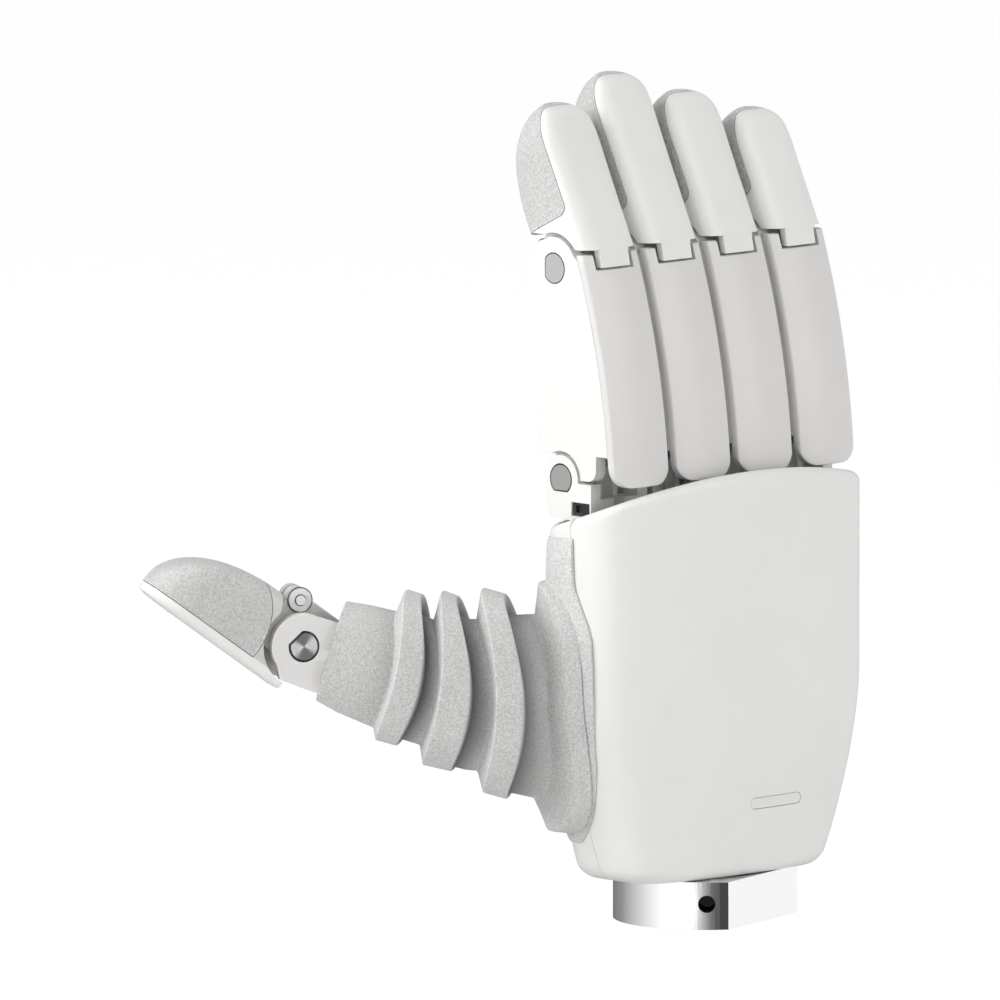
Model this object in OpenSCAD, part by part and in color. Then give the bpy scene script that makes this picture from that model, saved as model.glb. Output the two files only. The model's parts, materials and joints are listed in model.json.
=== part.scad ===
// Five-fingered robot hand: right hand, back of the hand towards -Y, palm towards +Y,
// fingertips up, thumb side towards -X. The origin is the centre of the wrist flange's
// mounting face. Every finger bends about the X axis; a crossed coupler rod bends its tip.

/* [Palm] */
// Half width of the palm shell at the knuckles
palm_half_w = 41.7; // [41:0.1:43]
// Thickness of the palm shell, back to palm
palm_t = 30; // [29:0.5:32]
// Radius of the palm shell's long corners
palm_corner_r = 10; // [8:0.5:11]
// Radius of the crown across the back of the hand
back_crown_r = 167; // [140:1:300]
// Wall thickness of the two palm shells
palm_wall = 2; // [1.6:0.1:2.4]
// Height of the shells' lower edge above the mounting face
palm_z0 = 10.8; // [10.5:0.1:12]
// Highest point of the back shell's arched rim
rim_z = 101.7; // [101:0.1:102.5]
// Fall of the rim's arch at the corners
rim_arch = 3.4; // [2:0.1:4]
// How much the shell tapers in at its lower end on the little finger side
taper_ulnar = 14.4; // [10:0.1:15]
// How much the shell tapers in at its lower end on the thumb side
taper_radial = 10.4; // [8:0.1:11]
// Height where the taper begins
taper_z = 55; // [50:1:60]
// Position of the parting plane between the shells, along Y
parting_y = 1.2; // [0.5:0.1:2]
// Length of the status lens
lens_l = 16.2; // [12:0.1:18]
// Height of the status lens
lens_h = 2.4; // [2:0.1:3]
// Height of the lens above the mounting face
lens_z = 27; // [24:0.5:34]

/* [Wrist] */
// Diameter of the wrist flange
flange_d = 42.5; // [41:0.5:44]
// Bore of the flange, for the arm's spigot
flange_bore_d = 24; // [20:0.5:24]
// Depth of the flange's bore
flange_bore_depth = 8; // [6:0.5:8.5]
// Diameter of the collar that the shells and the frame close round
collar_d = 22; // [20:0.5:22]
// Diameter of the hole for the cables in the flange's floor
cable_d = 10; // [8:0.5:12]
// Distance of the flange's screws from its axis
flange_screw_r = 8.6; // [8:0.1:9]
// Distance of the flange's flat from its axis
flange_flat = 14; // [13:0.5:18]
// Diameter of the radial screw holes
radial_hole_d = 3.8; // [3:0.1:4.2]
// Height of the radial screw holes
radial_hole_z = 5.8; // [5:0.1:6]

/* [Fingers] */
// Width of a finger
finger_w = 17.5; // [17:0.1:17.9]
// Distance between neighbouring fingers
finger_pitch = 19.3; // [19:0.1:19.5]
// Thickness of a finger's side ears
ear_t = 3; // [2.6:0.1:3.2]
// Radius of the knuckle's ears
knuckle_ear_r = 5.4; // [5:0.1:5.6]
// Radius of the ears at the middle joint
link_ear_r = 7; // [6.6:0.1:7.2]
// Radius of the hinge pins
pin_r = 1.5; // [1.2:0.1:1.6]
// Radius of the pins' flat heads
head_r = 3.4; // [3:0.1:3.6]
// Distance from a head's centre to its flat
head_flat = 2.7; // [2.4:0.1:3]
// Lengths of the index, middle, ring and little fingertips from the middle joint
tip_len = [36.4, 42.2, 36.2, 30.4];
// Length of the thumb's tip from its joint
thumb_tip_len = 36.4; // [33:0.1:40]
// Width of the thumb
thumb_w = 18; // [17:0.1:18.5]

/* [Clearances] */
// Radial clearance of a pin in its moving bore
pin_gap = 0.05; // [0.02:0.01:0.1]
// Side clearance between an ear and the tongue inside it
side_gap = 0.3; // [0.2:0.05:0.4]
// Gap around a soft pad or a fixed head in its pocket
fit_gap = 0.15; // [0.1:0.05:0.3]

/* [Hidden] */
$fn = 40;
eps = 0.01;
screw_angles = [62, 152, 242, 332];
cover_screw_at = [for (x = [-17.6, 17.6], z = [20, 81]) [x, z]];

white = [0.93, 0.93, 0.92];
grey = [0.78, 0.78, 0.78];
light = [0.86, 0.86, 0.86];
dark = [0.15, 0.15, 0.16];
steel = [0.75, 0.76, 0.78];

// knuckle axis, middle joint and coupler pivots in the finger's own frame (x across, y towards
// the palm, z towards the tip, z = 0 at the knuckle axis)
mcp_z = 101.3;
mcp = [8.4, 0];
pip = [10.7, 47.1];
crank_at = [7.5, 2.8];
rod_foot = [-3.58, 6.16];
anchor_at = [-2.53, 5.34];
tip_tilt = 26;
anchor_r = 1.2;
anchor_slack = 1.4;
rod_t = 2.4;
rod_w = 3.4;
crank_r = 1.15;
lug_in = 1.6;
anchor_lug = 3;
half_w = finger_w / 2;
tongue = half_w - ear_t - side_gap;
dorsal_y = -10.1;
dorsal_r = 182;
dorsal_c = [dorsal_y + dorsal_r, -10.8];
cover_t = 2.9;
crown_r = 30;
back_top = pip[1] + 3.5;
notch_w = 11.6;
flap_w = 8.8;

thumb_yaw = 29;
thumb_tilt = 17.4;
swing_at = [-31, 6];
thumb_m = [-55.8, 19.8, 54.3];
thumb_l = 41.7;
thumb_rod_foot = [-4.32, 6.1];
thumb_anchor_at = [-4.23, 6];
thumb_crank_at = [9.5, 2.7];
thumb_tip_tilt = 19;
thumb_half = thumb_w / 2;

function finger_x(i) = (i - 1.5) * finger_pitch;

// ---------- shared helpers ----------

// a profile drawn in (y, z), extruded across x between x0 and x1
module across(x0, x1) {
    translate([x0, 0, 0]) rotate([90, 0, 90]) linear_extrude(x1 - x0) children();
}

// a cylinder along x at a point of the (y, z) plane
module rod_x(at, r, x0, x1) {
    translate([x0, at[0], at[1]]) rotate([0, 90, 0]) cylinder(r = r, h = x1 - x0);
}

module disc(at, r) {
    translate(at) circle(r);
}

// a bar of the given width between two points of a plane
module bar(a, b, w) {
    d = b - a;
    translate(a) rotate(atan2(d[1], d[0])) translate([0, -w / 2]) square([norm(d), w]);
}

// a rounded rectangle between two corners
module pill(lo, hi, r) {
    translate([lo[0] + r, lo[1]]) square([hi[0] - lo[0] - 2 * r, hi[1] - lo[1]]);
    translate([lo[0], lo[1] + r]) square([hi[0] - lo[0], hi[1] - lo[1] - 2 * r]);
    for (x = [lo[0] + r, hi[0] - r], y = [lo[1] + r, hi[1] - r]) disc([x, y], r);
}

// a closed skin over rings of equal point count; each end ring is closed by a strip
module loft(rings, flip = false) {
    n = len(rings);
    k = len(rings[0]);
    side = [for (j = [0:n - 2], i = [0:k - 1]) let (a = j * k + i, b = j * k + (i + 1) % k)
        each [[a, b, b + k], [a, b + k, a + k]]];
    ends = [for (i = [0:k / 2 - 2]) let (e = (n - 1) * k)
        each [[i, k - 1 - i, i + 1], [i + 1, k - 1 - i, k - 2 - i],
            [e + i, e + i + 1, e + k - 1 - i], [e + i + 1, e + k - 2 - i, e + k - 1 - i]]];
    faces = concat(side, [for (f = ends) if (f[0] != f[1] && f[1] != f[2] && f[0] != f[2]) f]);
    polyhedron(points = [for (r = rings) each r],
        faces = flip ? [for (f = faces) [f[2], f[1], f[0]]] : faces, convexity = 6);
}

// a closed tube: rings with an outer and an inner loop, joined at both ends
module tube(outer, inner, flip = false) {
    n = len(outer);
    k = len(outer[0]);
    m = n * k;
    wall = [for (j = [0:n - 2], i = [0:k - 1]) let (a = j * k + i, b = j * k + (i + 1) % k)
        each [[a, b, b + k], [a, b + k, a + k],
            [m + b, m + a, m + b + k], [m + b + k, m + a, m + a + k]]];
    rims = [for (i = [0:k - 1]) let (b = (i + 1) % k, e = (n - 1) * k)
        each [[b, i, m + i], [b, m + i, m + b], [e + i, e + b, m + e + i], [e + b, m + e + b, m + e + i]]];
    faces = concat(wall, rims);
    polyhedron(points = concat([for (r = outer) each r], [for (r = inner) each r]),
        faces = flip ? [for (f = faces) [f[2], f[1], f[0]]] : faces, convexity = 8);
}

// ---------- palm shells ----------

// how far the sides have drawn in at a height, and the section's half width and centre
function taper(z) = pow(max(0, (taper_z - z) / (taper_z - palm_z0)), 1.7);
function sec_w(z) = palm_half_w - taper(z) * (taper_ulnar + taper_radial) / 2;
function sec_x(z) = -taper(z) * (taper_ulnar - taper_radial) / 2;
// centre of the corner arc, measured along the thickness, for a crown of radius c
function corner_y(w, c) = palm_t / 2 - c + sqrt(pow(c - palm_corner_r, 2) - pow(w - palm_corner_r, 2));
function crown_a(w, c) = asin((w - palm_corner_r) / (c - palm_corner_r));
// half a section as [x, depth] from one side, over the crowned face, to the other; d is an inset
function arc_pts(cx, cy, r, a0, a1, n) = [for (i = [0:n]) let (a = a0 + (a1 - a0) * i / n)
    [cx + r * cos(a), cy + r * sin(a)]];
function half_sec(w, c, d, y0) = let (q = palm_corner_r, cy = corner_y(w, c), g = crown_a(w, c))
    concat([[w - d, y0]], arc_pts(w - q, cy, q - d, 0, 90 - g, 6),
        [for (i = [1:9]) let (a = 90 - g + 2 * g * i / 10)
            [(c - d) * cos(a), palm_t / 2 - c + (c - d) * sin(a)]],
        arc_pts(q - w, cy, q - d, 90 + g, 180, 6), [[d - w, y0]]);
// height of the rim over a point of the plan
function rim(x, y) = rim_z - rim_arch * pow((x - 3) / 41, 2) - 0.33 * max(0, y + 13);
function rows(n, z0, z1) = [for (i = [0:n]) z0 + (z1 - z0) * i / n];
// one shell wall: the loop of a column runs up the outside and down the inside
function shell_cols(s, c, y0, wall, fb, ft, zr) = let (
    lo = palm_z0 + fb, hi = zr - ft,
    outside = concat([for (a = [80, 55, 28]) [fb * (1 - cos(a)), palm_z0 + fb - fb * sin(a), 0]],
        [for (z = rows(11, lo, hi)) [0, z, (z - lo) / (hi - lo)]],
        [for (a = [30, 60, 85]) [ft * (1 - cos(a)), hi + ft * sin(a), 1]]),
    inside = [for (i = [len(outside) - 1:-1:0]) let (o = outside[i], e = o[0] > 0 ? 0 : 1)
        [max(wall, o[0] + 0.9), o[1], o[2]]],
    loop = concat(outside, inside),
    secs = [for (p = loop) half_sec(sec_w(p[1]), c, p[0], y0)])
    [for (j = [0:len(secs[0]) - 1]) [for (i = [0:len(loop) - 1])
        let (q = secs[i][j], x = q[0] + sec_x(loop[i][1]), y = s * q[1], t = loop[i][2])
        [x, y, loop[i][1] + (rim(x, s < 0 ? y : min(y, 11)) - zr) * pow(t, 2)]]];

// the window that the thumb's carrier swings in, a wedge in plan about the swing axis
module thumb_window(grow = 0) {
    w = 11 + grow;
    a = 90 - thumb_yaw;
    dir = [-sin(a), cos(a)];
    far = [-sin(a - 52), cos(a - 52)];
    p = swing_at + w * [-dir[1], dir[0]];
    q = swing_at + w * [far[1], -far[0]];
    translate([0, 0, thumb_m[2] - 4 - 20 - grow]) linear_extrude(40 + 2 * grow)
        polygon([p - 4 * dir, p + 30 * dir, swing_at + 45 * (dir + far) / 1.8, q + 30 * far, q - 4 * far]);
}

module back_cover() {
    color(white) difference() {
        loft(shell_cols(-1, back_crown_r, -parting_y, palm_wall, 3.5, 2.2, rim_z), flip = true);
        thumb_window();
        lens_prism(0.1, 4);
    }
}

module palm_cover() {
    color(white) difference() {
        loft(shell_cols(1, 400, parting_y + 0.1, palm_wall, 3.5, 1.2, rim_z));
        thumb_window();
        for (p = cover_screw_at) translate([p[0], palm_t / 2 - 0.5, p[1]]) rotate([90, 0, 0]) {
            cylinder(d = 2.2, h = 8, center = true);
            translate([0, 0, -3]) cylinder(d = 4.1, h = 4.2);
        }
    }
}

// pill-shaped prism that crosses the back shell
module lens_prism(gap, depth) {
    translate([6.9, -palm_t / 2 + 1.2, lens_z]) rotate([90, 0, 0])
        translate([0, 0, -depth / 2]) linear_extrude(depth)
            pill([-lens_l / 2 - gap, -lens_h / 2 - gap], [lens_l / 2 + gap, lens_h / 2 + gap],
                lens_h / 2 + gap - eps);
}

module status_lens() {
    color(light) intersection() {
        lens_prism(0, 3);
        translate([sec_x(lens_z), back_crown_r - palm_t / 2, 0])
            cylinder(r = back_crown_r - 0.05, h = 60, $fn = 360);
    }
}

// soft sheet on the palm's face
module palm_pad() {
    color(grey) difference() {
        intersection() {
            translate([0, palm_t / 2 + 2, 0]) rotate([90, 0, 0]) linear_extrude(4)
                pill([-14, 26], [34, 84], 7);
            translate([0, palm_t / 2 + 0.8 - 300, 0]) cylinder(r = 300, h = 100, $fn = 360);
        }
        translate([0, palm_t / 2 + 0.08 - 400, 0]) cylinder(r = 400, h = 100, $fn = 360);
    }
}

// a point of the shell's outline on the thumb side, by its place u along the outline
function side_pt(u, z, d) = let (w = sec_w(z), q = palm_corner_r, cb = corner_y(w, back_crown_r),
    cp = corner_y(w, 400), x = sec_x(z) - w + q)
    u < 0 ? [x - (q + d) * cos(30 * u), (q + d) * sin(30 * u) - cb, z]
    : u < 1 ? [x - q - d, -cb + u * (cb + cp), z]
    : u < 2 ? let (a = 85 * (u - 1)) [x - (q + d) * cos(a), cp + (q + d) * sin(a), z]
    : [x + (q + d) * 0.1 + 11 * (u - 2), cp + q + d + 0.1 + 0.5 * (u - 2), z];
function skin_hi(u) = 66 + 23 * pow(min(1, max(0, (u + 0.75) / 1.2)), 0.75) - 1.2 * max(0, u - 1);
function skin_lo(u) = 31 - 13 * pow(min(1, max(0, (u + 0.75) / 1.1)), 0.6);

// soft skin around the thumb's root
module thumb_skin() {
    us = concat([for (i = [0:3]) -0.75 + 0.25 * i], [for (i = [1:3]) i / 3.01], [for (i = [0:6]) 1 + i / 6.01], [2.01, 2.4, 2.8]);
    color(grey) difference() {
        loft([for (u = us) let (hi = skin_hi(u), lo = skin_lo(u))
            concat([for (z = rows(9, lo, hi)) side_pt(u, z, 0.95)], [for (z = rows(9, hi, lo)) side_pt(u, z, 0.2)])],
            flip = true);
        thumb_window(0.5);
    }
}

// ---------- inside the palm ----------

module wrist_flange() {
    color(steel) difference() {
        union() {
            cylinder(d = flange_d, h = palm_z0 - 0.1, $fn = 96);
            cylinder(d = collar_d, h = palm_z0 + 3.2, $fn = 96);
        }
        translate([0, 0, -1]) cylinder(d = flange_bore_d, h = flange_bore_depth + 1, $fn = 96);
        translate([0, 0, flange_bore_depth - 1]) cylinder(d = cable_d, h = 10);
        rotate([0, 0, 17]) translate([-30, -flange_flat - 20, -1]) cube([60, 20, palm_z0 + 0.9]);
        for (a = [225, 345, 105]) rotate([0, 0, a]) translate([10, 0, radial_hole_z])
            rotate([0, 90, 0]) cylinder(d = radial_hole_d, h = 15);
        for (a = screw_angles) rotate([0, 0, a]) translate([flange_screw_r, 0, flange_bore_depth])
            cylinder(d = 2.5, h = 10);
    }
}

module flange_screws() {
    color(steel) for (a = screw_angles) rotate([0, 0, a]) translate([flange_screw_r, 0, 0]) {
        translate([0, 0, flange_bore_depth + 0.4]) cylinder(d = 2.5, h = palm_z0 + 6.1 - flange_bore_depth - 0.4);
        translate([0, 0, palm_z0 + 6]) cylinder(d = 5, h = 2);
    }
}

module palm_frame() {
    color(light) difference() {
        union() {
            translate([-1, 0, palm_z0 + 3.2]) linear_extrude(2.8) pill([-24, -10.5], [22, 11], 8);
            translate([-1, 0, palm_z0 + 0.1]) linear_extrude(3.2) pill([-22, -9], [20, 9.5], 8);
            for (x = [-20.4, 14.8]) translate([x, -8.6, palm_z0 + 5]) cube([5.6, 3, 26]);
            for (x = [-17.6, 17.6]) translate([x, 12.2, 20]) rotate([90, 0, 0]) cylinder(d = 5, h = 18.6);
            translate([-33, -8.6, 36]) cube([66, 3, 44]);
            translate([0, 0, 78]) linear_extrude(6) pill([-36.8, -8.6], [36.8, 10.8], 6);
            for (z = [36, 69.5]) translate([0, 0, z]) linear_extrude(3) pill([-35.5, -8.6], [-26, 10], 4);
        }
        translate([0, 0, palm_z0 - 1]) cylinder(d = collar_d + 0.1, h = 4.2);
        translate([0, 0, palm_z0]) cylinder(d = cable_d, h = 10);
        for (z = [34, 68]) translate([swing_at[0], swing_at[1], z]) cylinder(r = 3.05, h = 6);
        for (a = screw_angles) rotate([0, 0, a]) translate([flange_screw_r, 0, palm_z0]) cylinder(d = 2.6, h = 10);
        for (x = [-28, 12]) translate([x, -10, 50]) cube([16, 6, 18]);
        for (p = cover_screw_at) translate([p[0], 8, p[1]]) rotate([-90, 0, 0]) cylinder(d = 2, h = 10);
    }
}

module motor(x, y, z0, len) {
    translate([x, y, z0]) {
        cylinder(r = 5, h = len * 0.6);
        translate([0, 0, len * 0.6]) cylinder(r = 4.6, h = len * 0.4);
        translate([0, 0, len]) cylinder(r = 1.5, h = 3);
    }
}

module control_board() {
    color([0.1, 0.3, 0.2]) {
        translate([-19, -10.4, 26]) cube([38, 1.2, 40]);
        for (z = [32, 46]) translate([-8, -11.4, z]) cube([9, 1.1, 9]);
    }
}

// the screws that hold the palm's cover, from the palm side
module cover_screws() {
    color(steel) for (p = cover_screw_at) translate([p[0], palm_t / 2 - 0.5, p[1]]) rotate([90, 0, 0]) {
        cylinder(d = 3.8, h = 1.2);
        cylinder(d = 2, h = 6.4);
    }
}

// ---------- fingers ----------

module finger(i) {
    translate([finger_x(i), 0, mcp_z]) children();
}

// a headed pin: the head's flat faces the given angle of the (y, z) plane
module head_shape(r, flat, a) {
    rotate(a) difference() {
        circle(r);
        translate([flat, -r - 1]) square([r, 2 * r + 2]);
    }
}

module head_pocket(at, x, depth, side, a) {
    translate([0, at[0], at[1]]) across(side < 0 ? x - 1 : x - depth, side < 0 ? x + depth : x + 1)
        head_shape(head_r + fit_gap, head_flat + fit_gap, a);
}

module stub_pin(at, side, x_out, x_in, a) {
    translate([0, at[0], at[1]]) {
        across(min(side * x_out, side * x_in), max(side * x_out, side * x_in)) circle(pin_r);
        across(side < 0 ? -x_out : x_out - 1, side < 0 ? 1 - x_out : x_out) head_shape(head_r, head_flat, a);
    }
}

module finger_knuckle(i) {
    inner = tongue + side_gap;
    color(white) finger(i) difference() {
        union() {
            difference() {
                across(-half_w, half_w) {
                    disc(mcp, knuckle_ear_r);
                    translate([mcp[0] - knuckle_ear_r, -7.4]) square([2 * knuckle_ear_r - 0.6, 7.4]);
                    translate([-1.2, -9]) square([13, 8.4]);
                }
                across(-7, 7) translate([-1.2, -17.3]) square([11.4, 8.4]);
                across(-inner, inner) {
                    disc(mcp, knuckle_ear_r + 1.4);
                    translate([-3, -4]) square([20, 15]);
                }
            }
            for (s = [-1, 1]) across(min(s * lug_in, s * anchor_lug), max(s * lug_in, s * anchor_lug)) {
                disc(mcp + anchor_at, 2.4);
                bar(mcp + anchor_at, mcp + anchor_at + [-1.2, -10], 4.8);
            }
            rod_x(mcp + anchor_at, anchor_r, -anchor_lug, anchor_lug);
        }
        rod_x(mcp, pin_r, -half_w - 1, -inner + 1);
        rod_x(mcp, pin_r, inner - 1, half_w + 1);
        head_pocket(mcp, -half_w, 1, -1, -90);
        head_pocket(mcp, half_w, 1, 1, -90);
        across(-lug_in, lug_in) translate([-3, -9]) square([15, 7]);
        if (i == 0) translate([-half_w - 1, -0.8, -7.9]) cube([3, 5.8, 3.1]);
    }
}

module service_port() {
    color(dark) finger(0) difference() {
        translate([-half_w + 0.5, -0.8, -7.9]) cube([1.5, 5.8, 3.1]);
        translate([-half_w + 0.3, 0.2, -7.2]) cube([1, 3.8, 1.7]);
    }
}

module knuckle_pins() {
    color(grey) for (i = [0:3]) finger(i) for (s = [-1, 1])
        stub_pin(mcp, s, half_w, anchor_lug + 0.3, -90);
}

module link_profile() {
    intersection() {
        disc(dorsal_c, dorsal_r - cover_t);
        union() {
            translate([-20, 0.2]) square([mcp[0] + 7 + 20, 4.8]);
            polygon([[-20, 5], [mcp[0] + 7, 5], [pip[0] + link_ear_r, pip[1]], [pip[0], pip[1] + 4.5],
                [pip[0] - 4.6, pip[1] + 4.6], [pip[0] - 8.2, pip[1] + 1.6], [-20, pip[1] + 1.6]]);
            disc(pip, link_ear_r);
        }
    }
}

module finger_link(i) {
    inner = tongue + side_gap;
    color(white) finger(i) difference() {
        union() {
            difference() {
                across(-half_w, half_w) link_profile();
                across(-half_w - 1, half_w + 1) {
                    disc(mcp, knuckle_ear_r + 0.9);
                    translate([mcp[0], -1]) square([10, 6.5]);
                    translate([-20, -1]) square([17.2, 7]);
                    difference() {
                        translate([-2.9, -1]) square([2.7, 3.8]);
                        disc([-0.2, 2.8], 2.6);
                    }
                }
                across(-inner, inner) translate([-20, -1]) square([40, 10]);
                across(-inner, inner) {
                    disc(pip, link_ear_r - 0.2);
                    translate([pip[0] - 1, pip[1] - 11.6]) square([20, 25]);
                    translate([pip[0] - 12, pip[1] - 2]) square([20, 20]);
                }
            }
            for (s = [-1, 1]) across(min(s * (anchor_lug + 0.3), s * tongue), max(s * (anchor_lug + 0.3), s * tongue)) {
                disc(mcp, 5.2);
                bar(mcp, mcp + [0.6, 12], 9.6);
            }
        }
        across(-1.7, 1.7) polygon([[-4, 8], [13, 8], [18, 22], [18, pip[1] - 11], [-2, pip[1] - 11]]);
        across(-anchor_lug - 0.3, anchor_lug + 0.3) disc(mcp, 9.2);
        rod_x(mcp, pin_r + pin_gap, -half_w, half_w);
        rod_x(pip, pin_r, -half_w - 1, half_w + 1);
        head_pocket(pip, -half_w, 1, -1, 0);
        head_pocket(pip, half_w, 1, 1, 0);
        translate([-notch_w / 2, -20, pip[1] - 2]) cube([notch_w, 26, 10]);
    }
}

module finger_back(i) {
    r = 2.6;
    a_hi = asin((back_top + 4 - dorsal_c[1]) / dorsal_r);
    color(light) finger(i) difference() {
        intersection() {
            translate([0, dorsal_c[0], dorsal_c[1]]) rotate([0, 90, 0])
                rotate_extrude(angle = a_hi - 1, start = 270 - a_hi, $fn = 360) difference() {
                    intersection() {
                        translate([dorsal_r - crown_r, 0]) circle(crown_r, $fn = 120);
                        translate([dorsal_r - cover_t, -finger_w]) square([cover_t, 2 * finger_w]);
                        union() {
                            translate([dorsal_r - cover_t, -half_w]) square([cover_t - r, finger_w]);
                            translate([dorsal_r - r - eps, r - half_w]) square([r + eps, finger_w - 2 * r]);
                            for (s = [-1, 1]) translate([dorsal_r - r, s * (half_w - r)]) circle(r);
                        }
                    }
                }
            translate([0, 20, 0]) rotate([90, 0, 0]) linear_extrude(40) {
                pill([-half_w, -0.9], [half_w, 20], 5);
                translate([-half_w, 10]) square([finger_w, back_top - 10]);
            }
        }
        translate([-notch_w / 2, -20, back_top - 3.4]) cube([notch_w, 26, 10]);
    }
}

module finger_pin(i) {
    color(grey) finger(i) for (s = [-1, 1]) {
        stub_pin(pip, s, half_w, s < 0 ? -half_w + 1 : half_w - 1, 0);
    }
}

// the rounded tip, as rings along its own axis: n is towards the palm side, s along the tip
function tip_w(s, l, w) = w * pow(max(0.02, 1 - pow(max(0, (s - l + 13) / 13), 2.6)), 0.45);
function tip_dorsal(s, l, nd) = nd + 4.5 * pow(max(0, (s - l + 7) / 7), 2.6);
function tip_palm(s, l, np) = -9 + (np + 9) * sqrt(max(0, 1 - pow(max(0, (s - 12) / (l - 12.05)), 2)));
function tip_ring(s, l, w, nd, np) = let (hw = tip_w(s, l, w), a = tip_dorsal(s, l, nd),
    b = max(a + 1.2, tip_palm(s, l, np)), m = (a + b) / 2, h = (b - a) / 2)
    [for (i = [0:27]) let (t = (i + 0.5) * 360 / 28, c = cos(t), d = sin(t))
        [hw * sign(c) * pow(abs(c), 0.42), m + h * sign(d) * pow(abs(d), 0.5), s]];
function tip_stations(l) = concat([for (i = [0:3]) -3 + 5 * i], [for (i = [1:10]) 12 + (l - 12) * sin(9 * i)]);

module tip_form(l, w, nd, np) {
    loft([for (s = tip_stations(l)) tip_ring(s, l, w, nd, np)], flip = true);
}

module tip_pad_zone(nd, g, w) {
    difference() {
        across(-w - 2, w + 2) pill([nd + 2.3 + g, 9.7 + g], [30, 70], 2);
        translate([-w + 3 - g, nd, 0]) cube([2 * (w - 3 + g), 7 + g, 28 + g]);
    }
}

module digit_tip(pivot, tilt, l, w, nd, np, ear, crank, half) {
    inner = half - ear_t - side_gap;
    difference() {
        union() {
            difference() {
                translate([0, pivot[0], pivot[1]]) rotate([-tilt, 0, 0]) difference() {
                    tip_form(l, w, nd, np);
                    tip_pad_zone(nd, 0, w);
                }
                across(-w - 1, w + 1) {
                    disc(pivot, ear + 1);
                    translate([pivot[0], pivot[1] - 20]) square([30, 27.4]);
                    translate([pivot[0] - 30, pivot[1] - 20]) square([60, 20 - 2]);
                    translate([pivot[0] - 30, pivot[1] - 5]) square([30, 9.6]);
                }
            }
            across(-inner, inner) {
                disc(pivot, ear - 1.8);
                bar(pivot - 1.2 * [cos(tilt), -sin(tilt)], pivot - 1.2 * [cos(tilt), -sin(tilt)]
                    + 9.3 * [sin(tilt), cos(tilt)], 7.4);
            }
            for (s = [-1, 1]) across(min(s * lug_in, s * 4.2), max(s * lug_in, s * 4.2)) {
                disc(pivot + crank, 2.7);
                bar(pivot, pivot + crank, 5.4);
                bar(pivot + [3, 6], pivot + crank, 5);
            }
        }
        across(-lug_in, lug_in) {
            disc(pivot + crank, 4.4);
            translate([pivot[0] - 5, pivot[1] - 12]) square([20, 13]);
            bar(pivot + crank, pivot + crank - [8, 12], 8);
        }
        rod_x(pivot, pin_r + pin_gap, -half, half);
        rod_x(pivot + crank, crank_r, -5, 5);
    }
}

module digit_crank(pivot, crank, side) {
    at = pivot + crank;
    rod_x(at, crank_r, -5.1, 5.1);
    rod_x(at, 2, side < 0 ? 4.2 : -5.1, side < 0 ? 5.1 : -4.2);
    translate([0, at[0], at[1]]) across(side < 0 ? -4.85 : 4.25, side < 0 ? -4.25 : 4.85) difference() {
        circle(2.6);
        circle(crank_r);
        translate([-4, -1.2]) square([4, 2.4]);
    }
}

module digit_coupler(foot, top, slack) {
    difference() {
        across(-rod_t / 2, rod_t / 2) {
            bar(foot, top, rod_w);
            disc(foot, anchor_r + slack + 1.3);
            disc(top, 2.6);
        }
        rod_x(foot, anchor_r + slack, -5, 5);
        rod_x(top, crank_r + pin_gap, -5, 5);
    }
}

// a fingertip, with the flap that fills the notch in the finger's back
module finger_tip(i) {
    color(white) finger(i) {
        digit_tip(pip, tip_tilt, tip_len[i], half_w, -11.2, 6, link_ear_r, crank_at, half_w);
        across(-flap_w / 2, flap_w / 2) translate(pip)
            polygon([[-9.9, 5.4], [-10.9, 0.6], [-9.3, 0.6], [-8.2, 5.4]]);
    }
}

module finger_pad(i) {
    color(grey) finger(i) translate([0, pip[0], pip[1]]) rotate([-tip_tilt, 0, 0]) intersection() {
        tip_form(tip_len[i], half_w, -11.2, 6);
        tip_pad_zone(-11.2, fit_gap, half_w);
    }
}

module finger_coupler(i) {
    color(steel) finger(i) digit_coupler(mcp + rod_foot, pip + crank_at, anchor_slack);
}

module finger_crank(i) {
    color(steel) finger(i) digit_crank(pip, crank_at, -1);
}

// ---------- thumb ----------

// frame of the thumb: origin at its root joint, x along the hinge, y towards its palm side
module thumb() {
    translate(thumb_m) rotate([0, 0, 90 - thumb_yaw]) rotate([thumb_tilt - 90, 0, 0])
        rotate([0, 0, 180]) children();
}

ip = [0, thumb_l];

// the same frame for points
function thumb_pt(x, y, z) = let (c = cos(thumb_tilt), t = sin(thumb_tilt), a = cos(thumb_yaw), b = sin(thumb_yaw),
    r = c * z - t * y) thumb_m + [-b * x - a * r, -a * x + b * r, c * y + t * z];

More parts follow.
